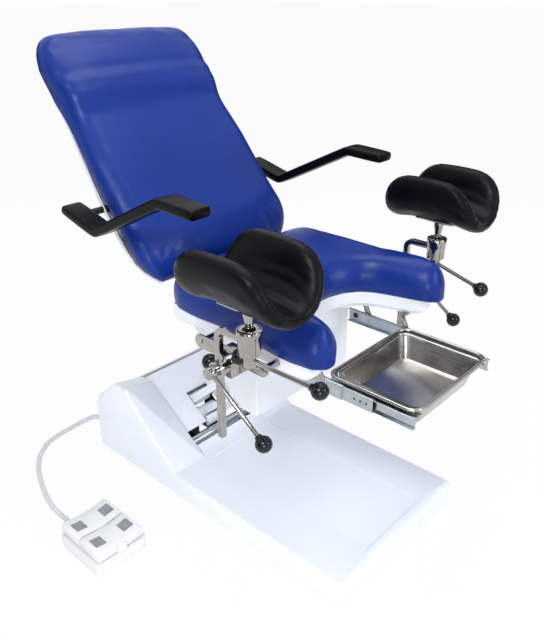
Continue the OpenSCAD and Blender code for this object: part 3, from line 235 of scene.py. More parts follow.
class Surface:
    """A procedural material with short calls for the nodes it needs."""

    def __init__(self, name, rough=0.4, metal=0.0, **fixed):
        self.m = bpy.data.materials.new(name)
        self.m.use_nodes = True
        self.t = self.m.node_tree
        self.p = self.t.nodes["Principled BSDF"]
        self.p.inputs["Roughness"].default_value = rough
        self.p.inputs["Metallic"].default_value = metal
        for key, value in fixed.items():
            self.p.inputs[key.replace("_", " ")].default_value = value
        self.co = self.t.nodes.new("ShaderNodeTexCoord").outputs["Object"]
        self.height = None

    def link(self, a, b):
        self.t.links.new(a, b)

    def stretched(self, x, y, z):
        n = self.t.nodes.new("ShaderNodeMapping")
        n.inputs["Scale"].default_value = (x, y, z)
        self.link(self.co, n.inputs["Vector"])
        return n.outputs[0]

    def noise(self, scale, detail=3.0, rough=0.5, distort=0.0, at=None):
        n = self.t.nodes.new("ShaderNodeTexNoise")
        n.inputs["Scale"].default_value = scale
        n.inputs["Detail"].default_value = detail
        n.inputs["Roughness"].default_value = rough
        n.inputs["Distortion"].default_value = distort
        self.link(at or self.co, n.inputs["Vector"])
        return n.outputs["Fac"]

    def cells(self, scale, feature="SMOOTH_F1", smooth=0.6):
        n = self.t.nodes.new("ShaderNodeTexVoronoi")
        n.feature = feature
        n.inputs["Scale"].default_value = scale
        if feature == "SMOOTH_F1":
            n.inputs["Smoothness"].default_value = smooth
        self.link(self.co, n.inputs["Vector"])
        return n.outputs["Distance"]

    def span(self, value, low, high, to_low=0.0, to_high=1.0):
        n = self.t.nodes.new("ShaderNodeMapRange")
        n.clamp = True
        for k, v in zip(("From Min", "From Max", "To Min", "To Max"), (low, high, to_low, to_high)):
            n.inputs[k].default_value = v
        self.link(value, n.inputs["Value"])
        return n.outputs["Result"]

    def math(self, op, a, b):
        n = self.t.nodes.new("ShaderNodeMath")
        n.operation = op
        for k, v in enumerate((a, b)):
            if isinstance(v, (int, float)):
                n.inputs[k].default_value = v
            else:
                self.link(v, n.inputs[k])
        return n.outputs[0]

    def mix(self, fac, a, b):
        n = self.t.nodes.new("ShaderNodeMix")
        n.data_type = "RGBA"
        self.link(fac, n.inputs["Factor"])
        ins = [s for s in n.inputs if s.type == "RGBA"]
        for socket, v in zip(ins, (a, b)):
            if isinstance(v, tuple):
                socket.default_value = (*v, 1)
            else:
                self.link(v, socket)
        return [s for s in n.outputs if s.type == "RGBA"][0]

    def axis(self, which):
        n = self.t.nodes.new("ShaderNodeSeparateXYZ")
        self.link(self.co, n.inputs[0])
        return n.outputs["XYZ".index(which)]

    def colour(self, socket):
        self.link(socket, self.p.inputs["Base Color"])

    def rough(self, socket):
        self.link(socket, self.p.inputs["Roughness"])

    def bump(self, height, strength, distance):
        """A bump on top of those made before it."""
        n = self.t.nodes.new("ShaderNodeBump")
        n.inputs["Strength"].default_value = strength
        n.inputs["Distance"].default_value = distance
        self.link(height, n.inputs["Height"])
        if self.height:
            self.link(self.height, n.inputs["Normal"])
        self.height = n.outputs[0]
        self.link(self.height, self.p.inputs["Normal"])


def plastic_white(name, light=(0.845, 0.870, 0.925), dark=(0.805, 0.835, 0.900), rough=(0.20, 0.27), scuff=True):
    """Glossy moulded plastic: an even bluish white, a little duller low down where shoes and mops reach it."""
    s = Surface(name, Coat_Weight=0.2, Coat_Roughness=0.10)
    tone = s.mix(s.span(s.noise(2.6, 2), 0.3, 0.7), light, dark)
    if scuff:
        fine = s.span(s.noise(150, 6, 0.7, 0.4), 0.64, 0.82, 0.0, 0.5)
        low = s.span(s.axis("Z"), 0.0, 0.10, 1.0, 0.06)
        tone = s.mix(s.math("MULTIPLY", fine, low), tone, (0.50, 0.52, 0.56))
    s.colour(tone)
    s.rough(s.span(s.noise(30, 4), 0.3, 0.72, *rough))
    s.bump(s.noise(7, 2), 0.05, 0.004)
    s.bump(s.noise(380, 2), 0.03, 0.0003)
    return s.m


def leather_blue(name):
    """Smooth artificial leather: a low pebbled grain, darker in its valleys, with faint long creases."""
    s = Surface(name, Specular_IOR_Level=0.20, Coat_Weight=0.05, Coat_Roughness=0.22)
    grain = s.cells(620, smooth=0.75)
    pores = s.noise(1900, 2)
    cloud = s.span(s.noise(6.5, 3, 0.55), 0.3, 0.72)
    tone = s.mix(cloud, (0.0055, 0.0330, 0.255), (0.0050, 0.0260, 0.205))
    tone = s.mix(s.span(grain, 0.32, 0.72), tone, (0.0038, 0.0200, 0.165))
    s.colour(tone)
    s.rough(s.math("ADD", s.span(s.noise(26, 4), 0.3, 0.7, 0.29, 0.37), s.math("MULTIPLY", grain, 0.05)))
    s.bump(s.noise(13, 4, 0.6, 0.8), 0.10, 0.006)
    s.bump(grain, 0.22, 0.0005)
    s.bump(pores, 0.10, 0.0002)
    return s.m


def foam_black(name, tint=(0.0018, 0.0021, 0.0030), worn=(0.0042, 0.0046, 0.0062), rough=(0.32, 0.42)):
    """Black integral-skin foam: a fine moulded grain with a dull sheen and greyer handled places."""
    s = Surface(name, Specular_IOR_Level=0.11)
    tone = s.mix(s.span(s.noise(9, 5, 0.6), 0.35, 0.75), tint, worn)
    tone = s.mix(s.span(s.noise(300, 5, 0.7), 0.66, 0.8), tone, (0.0065, 0.0070, 0.0085))
    s.colour(tone)
    s.rough(s.span(s.noise(40, 4), 0.3, 0.7, *rough))
    s.bump(s.cells(760, smooth=0.5), 0.22, 0.0004)
    s.bump(s.noise(60, 3), 0.05, 0.001)
    return s.m


def metal(name, light, dark, rough, brush=None, bump=0.05, spangle=None):
    """Metal in cloudy or spangled tones, with fine dark specks and brushed or mottled roughness."""
    scale = 60
    s = Surface(name, metal=1.0)
    if spangle:
        tone = s.mix(s.span(s.cells(spangle, "F1"), 0.1, 0.8), light, dark)
    else:
        tone = s.mix(s.span(s.noise(scale * 0.4, 4), 0.35, 0.7), light, dark)
    tone = s.mix(s.span(s.noise(scale * 7, 6, 0.75), 0.70, 0.86), tone, tuple(c * 0.7 for c in dark))
    s.colour(tone)
    lines = s.noise(1, 4, 0.6, at=s.stretched(*brush)) if brush else s.noise(scale, 5, 0.6)
    s.rough(s.span(lines, 0.3, 0.72, *rough))
    s.bump(lines, bump, 0.0003)
    return s.m


def powder_black(name):
    s = Surface(name, Specular_IOR_Level=0.25)
    s.colour(s.mix(s.span(s.noise(14, 4), 0.3, 0.7), (0.0060, 0.0060, 0.0068), (0.0120, 0.0120, 0.0135)))
    s.rough(s.span(s.noise(80, 4), 0.3, 0.7, 0.42, 0.58))
    s.bump(s.noise(900, 2), 0.2, 0.0003)
    return s.m


def ball_black(name):
    s = Surface(name, Specular_IOR_Level=0.28, Coat_Weight=0.12, Coat_Roughness=0.06)
    s.colour(s.mix(s.span(s.noise(70, 4), 0.35, 0.7), (0.0035, 0.0042, 0.0065), (0.0080, 0.0092, 0.0130)))
    s.rough(s.span(s.noise(240, 5, 0.7), 0.4, 0.75, 0.16, 0.34))
    s.bump(s.noise(500, 2), 0.04, 0.0002)
    return s.m


def tread_grey(name):
    s = Surface(name)
    s.colour(s.mix(s.span(s.noise(70, 4), 0.3, 0.7), (0.20, 0.215, 0.235), (0.30, 0.315, 0.335)))
    s.rough(s.span(s.noise(120, 3), 0.3, 0.7, 0.5, 0.7))
    s.bump(s.cells(420, "F1"), 0.5, 0.0006)
    return s.m


def hose_white(name):
    s = Surface(name, Coat_Weight=0.05)
    s.colour(s.mix(s.span(s.noise(60, 4), 0.3, 0.7), (0.66, 0.67, 0.70), (0.56, 0.57, 0.61)))
    s.rough(s.span(s.noise(90, 3), 0.3, 0.7, 0.36, 0.52))
    s.bump(s.noise(700, 2), 0.1, 0.0002)
    return s.m


WHITE = plastic_white("white_gloss_moulding")
WHITE_BASE = plastic_white("white_base_moulding", (0.840, 0.870, 0.935), (0.800, 0.835, 0.910), (0.17, 0.25))
WHITE_SHELL = plastic_white("white_shell_moulding", (0.800, 0.820, 0.860), (0.765, 0.785, 0.830), scuff=False)
WHITE_FOOT = plastic_white("white_foot_switch", (0.775, 0.785, 0.800), (0.735, 0.745, 0.765), (0.28, 0.38))
BLUE = leather_blue("blue_artificial_leather")
PAD = foam_black("black_knee_pad_skin")
BAR = foam_black("black_armrest_skin", (0.0016, 0.0017, 0.0021), (0.0032, 0.0034, 0.0042), (0.26, 0.38))
CHROME = metal("chrome_plate", (0.43, 0.415, 0.395), (0.33, 0.315, 0.295), (0.07, 0.17))
ZINC = metal("zinc_plate", (0.50, 0.545, 0.580), (0.43, 0.475, 0.510), (0.20, 0.32), spangle=45)
STEEL = metal("satin_steel", (0.58, 0.58, 0.58), (0.46, 0.46, 0.47), (0.2, 0.34), brush=(40, 900, 900))
TRAY = metal("bright_rolled_stainless", (0.48, 0.47, 0.45), (0.39, 0.38, 0.365), (0.13, 0.27),
             brush=(700, 22, 22), bump=0.04)
BLACK_STEEL = powder_black("black_powder_coat")
BALL = ball_black("black_ball_knob")
TREAD = tread_grey("grey_tread_pad")
HOSE_WHITE = hose_white("white_hose")

# ---------------------------------------------------------------- hose and cable

# Routes in millimetres, as in the part's own source
HOSE = [(-262, 576, 70), (-262, 594, 70), (-262, 612, 70), (-274, 640, 62), (-300, 672, 40), (-340, 694, 20),
        (-385, 703, 10), (-440, 690, 9), (-495, 650, 9), (-540, 592, 9), (-574, 520, 9), (-600, 450, 9),
        (-618, 380, 9), (-622, 330, 9), (-622, 310, 9), (-622, 290, 9)]
CABLE = [(-622, 300, 9), (-622, 276, 9), (-618, 262, 13), (-606, 246, 19), (-600, 232, 22), (-600, 222, 22),
         (-600, 214, 22)]
ROUTE_STEPS = 12
RIBS, RIB_STEPS = 150, 8
RIB_VALLEY, RIB_HEIGHT = 0.0068, 0.0017
CABLE_RADIUS = 0.0035


def smooth_route(points):
    """The part's own curve through its route, in metres."""
    p = np.array(points, float) / 1000
    n = len(p) - 1
    out = []
    for k in range(n):
        a, b, c, d = p[max(0, k - 1)], p[k], p[min(n, k + 1)], p[min(n, k + 2)]
        for i in range(ROUTE_STEPS):
            t = i / ROUTE_STEPS
            out.append(0.5 * (2 * b + (c - a) * t + (2 * a - 5 * b + 4 * c - d) * t * t
                              + (3 * b - a - 3 * c + d) * t ** 3))
    out.append(p[-1])
    return np.array(out)


def even(path, count):
    """The path as count evenly spaced points, and its length."""
    d = np.r_[0, np.cumsum(np.linalg.norm(np.diff(path, axis=0), axis=1))]
    s = np.linspace(0, d[-1], count)
    return np.array([np.interp(s, d, path[:, k]) for k in range(3)]).T, d[-1]


hose_line, hose_long = even(smooth_route(HOSE), RIBS * RIB_STEPS + 1)
wave = 0.5 + 0.5 * np.cos(np.arange(len(hose_line)) / RIB_STEPS * 2 * math.pi)
hose = tube_mesh("hose_ribbed", hose_line, RIB_VALLEY + RIB_HEIGHT * np.sqrt(wave), 20, HOSE_WHITE)
cable_line, cable_long = even(smooth_route(CABLE), 61)
cable = tube_mesh("cable_to_foot_switch", cable_line, CABLE_RADIUS, 16, HOSE_WHITE)
for ob, node in ((hose, "hose"), (cable, "cable")):
    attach(ob, "base")
    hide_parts(node)

# Cuff where the thin cable leaves the hose, and the strain reliefs at the foot switch and the base
cuff = lathe("hose_end_cuff",
             [(0.0050, 0), (0.0085, 0.0005), (0.0088, 0.006), (0.0078, 0.014), (0.0052, 0.022), (0.0040, 0.024)],
             (-0.622, 0.296, 0.009), (0, -1, 0), HOSE_WHITE)
boot = lathe("foot_switch_boot",
             [(0.0036, 0.024), (0.0046, 0.022), (0.0060, 0.012), (0.0072, 0.003), (0.0090, 0.0025), (0.0092, 0)],
             (-0.6, 0.2138, 0.022), (0, 1, 0), HOSE_WHITE)
relief = lathe("hose_strain_relief",
               [(0.0145, 0), (0.0150, 0.0015), (0.0146, 0.005), (0.0112, 0.0065), (0.0105, 0.018), (0.0095, 0.026),
                (0.0088, 0.034)],
               (-0.262, 0.5602, 0.070), (0, 1, 0), HOSE_WHITE)
for ob in (cuff, boot, relief):
    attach(ob, "base")
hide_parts("hose_gland")


# ---------------------------------------------------------------- soft goods

def coords(me):
    co = np.zeros(len(me.vertices) * 3)
    me.vertices.foreach_get("co", co)
    return co.reshape(-1, 3)


def normals(me):
    n = np.zeros(len(me.vertices) * 3)
    me.vertices.foreach_get("normal", n)
    return n.reshape(-1, 3)


def set_coords(me, co):
    me.vertices.foreach_set("co", co.ravel())
    me.update()


def ease(t):
    t = np.clip(t, 0, 1)
    return t * t * (3 - 2 * t)


def cad_copy(name, node, shrink=0.0, height=None):
    """The node's mesh in a new object, drawn in by shrink where height() of a point is well above its seat."""
    bm = bmesh.new()
    bm.from_mesh(NODES[node].data)
    bmesh.ops.remove_doubles(bm, verts=bm.verts, dist=0.00005)
    bmesh.ops.recalc_face_normals(bm, faces=bm.faces)
    bm.normal_update()
    bm.verts.index_update()
    shift = [v.normal * shrink * (min(max(height(v.co) / 0.02, 0), 1) if height else 1) for v in bm.verts]
    for v in bm.verts:
        v.co -= shift[v.index]
    return from_bmesh(name, bm)


def remeshed(ob, voxel):
    m = ob.modifiers.new("voxels", "REMESH")
    m.mode = "VOXEL"
    m.voxel_size = voxel
    me = evaluated_mesh(ob)
    ob.modifiers.clear()
    ob.data = me
    me.shade_smooth()


def relax(me, rounds, free=None):
    """Laplacian smoothing of a mesh's points, times a weight for each point if given."""
    weight = 1.0 if free is None else free[:, None]
    co = coords(me)
    e = np.zeros(len(me.edges) * 2, int)
    me.edges.foreach_get("vertices", e)
    e = e.reshape(-1, 2)
    count = np.bincount(e.ravel(), minlength=len(co)).astype(float)
    for _ in range(rounds):
        total = np.zeros_like(co)
        for a, b in ((0, 1), (1, 0)):
            for k in range(3):
                total[:, k] += np.bincount(e[:, a], weights=co[e[:, b], k], minlength=len(co))
        co = co + weight * 0.5 * (total / np.maximum(count, 1)[:, None] - co)
    set_coords(me, co)


CLOTH_FRAMES = 12


def simulate(ob, pinned, pressure, cap):
    """Cloth pressure for some frames, with the points of the mask pinned and all movement capped."""
    me = ob.data
    start = coords(me)
    if pinned is not None:
        group = ob.vertex_groups.new(name="pin")
        for k in np.nonzero(pinned > 0)[0]:
            group.add([int(k)], float(pinned[k]), "REPLACE")
    m = ob.modifiers.new("cloth", "CLOTH")
    s = m.settings
    s.quality = 5
    s.mass = 0.35
    s.tension_stiffness = s.compression_stiffness = 22
    s.shear_stiffness = 12
    s.bending_stiffness = 2.5
    s.use_pressure = True
    s.uniform_pressure_force = pressure
    s.effector_weights.gravity = 0
    if pinned is not None:
        s.vertex_group_mass = "pin"
    m.point_cache.frame_start, m.point_cache.frame_end = 1, CLOTH_FRAMES
    scene = bpy.context.scene
    for f in range(1, CLOTH_FRAMES + 1):
        scene.frame_set(f)
    moved = evaluated_mesh(ob)
    end = coords(moved)
    ob.modifiers.clear()
    scene.frame_set(1)
    d = end - start
    size = np.linalg.norm(d, axis=1)
    keep = cap * np.tanh(size / cap) / np.maximum(size, 1e-9)
    set_coords(me, start + d * keep[:, None])
    bpy.data.meshes.remove(moved)


def upholstered(ob, material):
    """One smooth skin of the material, subdivided once."""
    ob.data.materials.clear()
    ob.data.materials.append(material)
    ob.data.shade_smooth()
    subdivided(ob)


BACK_SLOPE = math.radians(50)
HINGE = Vector((0, 0.167, 0.726))
UP = Vector((0, math.cos(BACK_SLOPE), math.sin(BACK_SLOPE)))    # along the back from its hinge
OUT = Vector((0, -math.sin(BACK_SLOPE), math.cos(BACK_SLOPE)))  # square to the back, towards the sitter
BACK_START, BACK_LONG = 0.020, 0.820  # the cushion's lower end above the hinge, and its length
LAP = 0.005  # how far the seat cushion's lower edge hangs over its shell
SEAT_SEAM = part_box("seat_cushion")[0].z
BACK_SEAM = min((Vector(v.co) - HINGE).dot(OUT) for v in NODES["back_cushion"].data.vertices)


def seat_form(co, n):
    """Thicker and domed, its lower edge lapping over the shell and its two front lobes reaching past it."""
    h = co[:, 2] - SEAT_SEAM
    side = np.hypot(n[:, 0], n[:, 1])
    out = 0.007 * (1 - ease((h - 0.030) / 0.045)) - 0.007 * ease((h - 0.055) / 0.04)
    rear = 1 - ease((co[:, 1] - 0.06) / 0.05)  # 0 near the back cushion, so that the two don't meet
    co[:, :2] += n[:, :2] / np.maximum(side, 0.3)[:, None] * (out * side * rear)[:, None]
    co[:, 0] *= 1 + 0.012 * rear
    co[:, 1] -= 0.030 * ease((-0.30 - co[:, 1]) / 0.11)
    co[:, 2] = SEAT_SEAM + h * (1 + 0.20 * rear + 0.10 * (1 - rear))
    co[:, 2] -= LAP * ease((side - 0.3) / 0.3) * (1 - ease((h - 0.004) / 0.02)) * rear
    return co


def back_form(co, n):
    """Nearly parallel sides up to round top corners, and a long head pad that swells from a soft step.

    s runs from 0 at the cushion's lower end to 1 at its top. The solid's own outline, step and nose are taken
    away, and the photograph's put in their place.
    """
    rel = co - np.array(HINGE)
    along, out = rel @ np.array(UP), rel @ np.array(OUT)
    s = (along - BACK_START) / BACK_LONG
    width = np.where(s < 0.86, 0.320 - 0.036 * ease((s - 0.25) / 0.61),
                     0.188 + 0.096 * np.sqrt(np.clip(1 - ((s - 0.86) / 0.14) ** 2, 0, 1)))
    goal = 0.318 - 0.011 * ease((s - 0.45) / 0.2) + 0.004 * ease((s - 0.66) / 0.1) \
        - 0.105 * (1 - np.sqrt(np.clip(1 - (np.clip(s - 0.86, 0, 1) / 0.155) ** 2, 0, 1)))
    share = np.where(s > 0.15, goal / width, 1.0)
    face = ease((out - 0.030) / 0.05)
    step = 0.022 * ease((s - 0.76) / 0.05) * (1 - np.clip((s - 0.9) / 0.1, 0, 1)) \
        - 0.011 * np.clip(1 - np.abs(s - 0.76) / 0.03, 0, None)
    nose = -0.042 * np.clip((s - 0.9) / 0.1, 0, 1) ** 2
    head = 0.021 * ease((s - 0.635) / 0.10) * (1 - 0.25 * ease((s - 0.86) / 0.14)) \
        - 0.034 * np.clip((s - 0.93) / 0.07, 0, 1) ** 3
    rel[:, 0] *= 1 + (share - 1) * ease((s - 0.15) / 0.1)
    rel += np.outer(face * (head - step - nose), np.array(OUT))
    rel += np.outer(0.012 * ease((s - 0.9) / 0.1) * ease((out - 0.01) / 0.03), np.array(UP))
    return rel + np.array(HINGE)


def cushion(name, node, height, form):
    """A padded cushion on its shell: the leather swells everywhere but along its seam line at height 0."""
    ob = cad_copy(name, node, 0.003, height)
    remeshed(ob, 0.0075)
    set_coords(ob.data, form(coords(ob.data), normals(ob.data)))

    def rise():
        return np.array([height(Vector(c)) for c in coords(ob.data)])

    def loose():
        return np.clip((rise() - 0.004) / 0.012, 0, 1)

    relax(ob.data, 8, loose())
    simulate(ob, (rise() < 0.010).astype(float), 3.2, 0.008)
    relax(ob.data, 3, loose())
    return ob


seat = cushion("seat_cushion_leather", "seat_cushion", lambda c: c.z - SEAT_SEAM, seat_form)
co = coords(seat.data)
co[:, 2] = np.maximum(co[:, 2], SEAT_SEAM - LAP)
set_coords(seat.data, co)
back = cushion("back_cushion_leather", "back_cushion", lambda c: (c - HINGE).dot(OUT) - BACK_SEAM, back_form)

for ob, body, node in ((seat, "carriage", "seat_cushion"), (back, "back", "back_cushion")):
    upholstered(ob, BLUE)
    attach(ob, body)
    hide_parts(node)

PAD_THICKER = 0.0085
PAD_WIDER, PAD_LONGER = 1.05, 1.07
PAD_ROOM = Vector((0.016, 0.016, 0.003))  # how far a pad may pass its solid's box


def knee_pad(side):
    """The trough's skin, thicker than its solid all round except where the strap holds it from below."""
    node = "saddle_" + side
    low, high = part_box(node)
    ob = cad_copy("knee_pad_" + side, node)
    remeshed(ob, 0.005)
    middle, co, n = (low + high) / 2, coords(ob.data), normals(ob.data)
    from_strap = np.hypot(co[:, 0] - middle.x, co[:, 1] - middle.y) - 0.075
    under = ease((-n[:, 2] - 0.2) / 0.4) * (1 - ease(from_strap / 0.05))
    co += n * (PAD_THICKER * (1 - under))[:, None]
    co[:, 0] = middle.x + (co[:, 0] - middle.x) * PAD_WIDER
    co[:, 1] = middle.y + (co[:, 1] - middle.y) * PAD_LONGER
    set_coords(ob.data, co)
    relax(ob.data, 7)
    simulate(ob, None, 1.2, 0.004)
    relax(ob.data, 2)
    set_coords(ob.data, np.clip(coords(ob.data), np.array(low - PAD_ROOM), np.array(high + PAD_ROOM)))
    upholstered(ob, PAD)
    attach(ob, "saddle_" + side)
    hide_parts(node)


for side, _ in SIDES:
    knee_pad(side)

# The armrests' bent line from its rear end, as (y, z) from the hinge
ARM_LINE = [(0.235, 0.231), (0.095, 0.195), (-0.195, 0.340), (-0.317, 0.334)]
ARM_INNER, ARM_OUTER, ARM_THICK = 0.349, 0.419, 0.029
ARM_EDGE = 0.009        # rounding of the bar's long edges
ARM_BEND = 0.016        # how far from a corner its bend begins
ARM_END = (0.0085, 0.0065, 0.0)  # the end's rings past the line's end point
ARM_END_SHRINK = {0: 0.70, 1: 0.90}


def arm_centre():
    """The bent line with rings close together at its ends and round each corner."""
    pts = [Vector((HINGE.y + a, HINGE.z + b)) for a, b in ARM_LINE]
    last = len(pts) - 1
    centre = []
    for k, p in enumerate(pts):
        if k in (0, last):
            d = (p - (pts[1] if k == 0 else pts[-2])).normalized()
            centre += [p + d * e for e in (ARM_END if k == 0 else ARM_END[::-1])]
            continue
        a, b = (pts[k - 1] - p).normalized(), (pts[k + 1] - p).normalized()
        for s in (1.0, 0.5, 0.0, -0.5, -1.0):
            w = (1 - abs(s)) * 0.35
            centre.append(p + (a * max(s, 0) + b * max(-s, 0)) * ARM_BEND + (a + b) * ARM_BEND * w * 0.5)
    return centre


def armrest(side, sx):
    """One rounded flat bar along the bent line, its ends drawn in a little."""
    centre = arm_centre()
    n = len(centre)
    ring = [(cx, cy, math.radians(start + a))
            for cx, cy, start in ((1, 1, 0), (-1, 1, 90), (-1, -1, 180), (1, -1, 270)) for a in (0, 30, 60, 90)]
    m = len(ring)
    verts = []
    for k, c in enumerate(centre):
        d = (centre[min(n - 1, k + 1)] - centre[max(0, k - 1)]).normalized()
        normal = Vector((-d.y, d.x))
        less = (1 - ARM_END_SHRINK.get(min(k, n - 1 - k), 1.0)) * 0.016
        w, h = (ARM_OUTER - ARM_INNER) / 2 - less, ARM_THICK / 2 - less
        for cx, cy, ang in ring:
            u = cx * (w - ARM_EDGE) + ARM_EDGE * math.cos(ang)
            v = cy * (h - ARM_EDGE) + ARM_EDGE * math.sin(ang)
            verts.append((sx * ((ARM_INNER + ARM_OUTER) / 2 + u), c.x + normal.x * v, c.y + normal.y * v))
    bm = bmesh.new()
    vs = [bm.verts.new(v) for v in verts]
    for f in skin(n, m) + [tuple(range(m)), tuple((n - 1) * m + j for j in range(m))]:
        bm.faces.new([vs[i] for i in f])
    ob = from_bmesh("armrest_bar_" + side, bm, BAR)
    subdivided(ob)
    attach(ob, "armrest_" + side)
    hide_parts("armrest_" + side)


for side, sx in SIDES:
    armrest(side, sx)

# ---------------------------------------------------------------- carried-over nodes

for node, material, edge in (
        ("base_frame", BLACK_STEEL, 0.0015), ("base_cover", WHITE_BASE, 0), ("slot_cover_upper", WHITE, 0.0008),
        ("slot_cover_lower", WHITE, 0.0008), ("slot_tube", ZINC, 0.0006), ("lift_pins_low", STEEL, 0.0008),
        ("lift_arm", WHITE, 0.0015), ("lift_link", WHITE, 0.0012), ("carriage_frame", BLACK_STEEL, 0.001),
        ("lift_pins_high", STEEL, 0.0008), ("belly_cover", WHITE_SHELL, 0.003), ("seat_shell", WHITE_SHELL, 0),
        ("back_hinge_pins", STEEL, 0.0008), ("back_frame", BLACK_STEEL, 0.001), ("back_shell", WHITE_SHELL, 0),
        ("tray", TRAY, 0), ("slide_hangers", CHROME, 0.0005), ("foot_switch_housing", WHITE_FOOT, 0.0015),
        ("pedal_rear", WHITE_FOOT, 0.0025), ("pedal_front", WHITE_FOOT, 0.0025)):
    dress(node, material, edge)
for side, _ in SIDES:
    for name, material, edge in (
            ("rail", CHROME, 0.0008), ("clamp", CHROME, 0.0012), ("hub", CHROME, 0.001), ("post", CHROME, 0.0012),
            ("ball_stem", CHROME, 0), ("saddle_strap", CHROME, 0.0006), ("ball_lever", CHROME, 0.001),
            ("clamp_lever", CHROME, 0.001), ("post_knob", CHROME, 0), ("rail_knob", CHROME, 0),
            ("slide_outer", ZINC, 0.0003), ("slide_middle", ZINC, 0.0003), ("slide_inner", ZINC, 0.0003)):
        dress("%s_%s" % (name, side), material, edge)

# ---------------------------------------------------------------- small fittings

BALL_RADIUS = 0.0217
POST_X, POST_Y = 0.420, -0.345             # the knee rest's post
LEVER_Z, LEVER_LONG = 0.7697 - 0.016, 0.186  # the ball joint's lever
LEVER_TURN, LEVER_DROP = math.radians(12), 0.028
CLAMP_LEVER_X, CLAMP_X, CLAMP_Y = 0.451, 0.389, -0.241


def ball_at(name, centre, neck, body):
    """A moulded ball knob over the lever's ball, with a short collar towards its rod."""
    R = BALL_RADIUS
    prof = [(0.0078, -R - 0.0035), (0.0092, -R - 0.0030), (0.0096, -R + 0.0006)]
    for k in range(1, 25):
        a = math.radians(25 + 155 * k / 24)
        prof.append((max(0.0002, R * math.sin(a)), -R * math.cos(a)))
    ob = lathe(name, prof, centre, -neck.normalized(), BALL, 48)
    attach(ob, body)


for side, sx in SIDES:
    mid = Vector((sx * POST_X, POST_Y, LEVER_Z))
    tip = mid + Vector((-sx * LEVER_LONG * math.sin(LEVER_TURN), -LEVER_LONG * math.cos(LEVER_TURN), -LEVER_DROP))
    ball_at("lever_ball_" + side, tip, mid - tip, "ball_lever_" + side)
    mid, tip = Vector((sx * CLAMP_LEVER_X, CLAMP_Y, 0.690)), Vector((sx * CLAMP_LEVER_X, -0.418, 0.563))
    ball_at("clamp_ball_" + side, tip, mid - tip, "clamp_lever_" + side)
    # The post's knob stands at the back's own slope, the rail's lies level
    ball_at("post_ball_" + side, Vector((sx * CLAMP_X, CLAMP_Y, 0.690)) + OUT * 0.054, -OUT, "post_knob_" + side)
    ball_at("rail_ball_" + side, Vector((sx * CLAMP_X, CLAMP_Y + 0.070, 0.667)), Vector((0, -1, 0)),
            "rail_knob_" + side)

# Round guards over the roots of the two lift arms, which fill the notch in the slot covers at every height
GUARD_X, GUARD_ROUND = 0.045, 0.003
LINK_ROOT = (0.300, 0.110)
for name, body, (y, z), r in (("arm_root_guard", "lift_arm", (0.345, 0.150), 0.0235),
                              ("link_root_guard", "lift_link", LINK_ROOT, 0.0255)):
    guard = lathe(name, [(r - GUARD_ROUND, 0), (r, GUARD_ROUND), (r, 2 * GUARD_X - GUARD_ROUND),
                         (r - GUARD_ROUND, 2 * GUARD_X)], (-GUARD_X, y, z), (1, 0, 0), WHITE, 64)
    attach(guard, body)

# The lower link carries a curved apron, turned about its own pivot, that closes the notch below it
APRON_OUTER, APRON_INNER = 0.060, 0.052
ARC = [math.radians(a) for a in range(158, 199, 4)]
outline = [(LINK_ROOT[0] + r * math.cos(a), LINK_ROOT[1] + r * math.sin(a))
           for r, arc in ((APRON_OUTER, ARC), (APRON_INNER, ARC[::-1])) for a in arc]
count = len(outline)
apron = mesh_object("link_apron", [(x, y, z) for x in (-GUARD_X, GUARD_X) for y, z in outline],
                    [tuple(range(count)), tuple(range(2 * count - 1, count - 1, -1))]
                    + [(k, k + count, (k + 1) % count + count, (k + 1) % count) for k in range(count)],
                    WHITE, False)
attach(apron, "lift_link")

# Low domed screws with a round recess, sunk a little into the rails
SCREW_RADIUS, SCREW_HEIGHT = 0.0062, 0.0035
SCREW = [(SCREW_RADIUS, -0.001), (SCREW_RADIUS, SCREW_HEIGHT * 0.45), (SCREW_RADIUS * 0.86, SCREW_HEIGHT * 0.85),
         (SCREW_RADIUS * 0.55, SCREW_HEIGHT), (SCREW_RADIUS * 0.40, SCREW_HEIGHT),
         (SCREW_RADIUS * 0.36, SCREW_HEIGHT * 0.35), (0.0003, SCREW_HEIGHT * 0.3)]
for side, sx in SIDES:
    for end, y in (("rear", -0.111), ("front", -0.332)):
        screw = lathe("rail_%s_screw_%s" % (end, side), SCREW, (sx * 0.360, y, 0.694), (sx, 0, 0), STEEL)
        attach(screw, "carriage")

# Collars round the mouths of the post cups, and the dark stops in the outer slides
COLLAR = [(0.0286, 0.8215), (0.0310, 0.8220), (0.0312, 0.8320), (0.0303, 0.8338), (0.0286, 0.8338)]
for side, sx in SIDES:
    ring = lathe("cup_collar_" + side, COLLAR, (sx * POST_X, POST_Y, 0), (0, 0, 1), CHROME, 64, True)
    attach(ring, "post_" + side)
    stop = lathe("slide_stop_" + side, [(0.0090, 0), (0.0090, 0.0005)], (sx * 0.1967, -0.212, 0.603), (-sx, 0, 0),
                 BALL, 32)
    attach(stop, "carriage")


def round_rectangle(half, y0, y1, z, radius, steps=6):
    """Points of a rectangle with round corners in a level plane."""
    out = []
    for cx, cy, start in ((half - radius, y1 - radius, 0), (radius - half, y1 - radius, 90),
                          (radius - half, y0 + radius, 180), (half - radius, y0 + radius, 270)):
        for k in range(steps + 1):
            a = math.radians(start + 90 * k / steps)
            out.append((cx + radius * math.cos(a), cy + radius * math.sin(a), z))
    return out


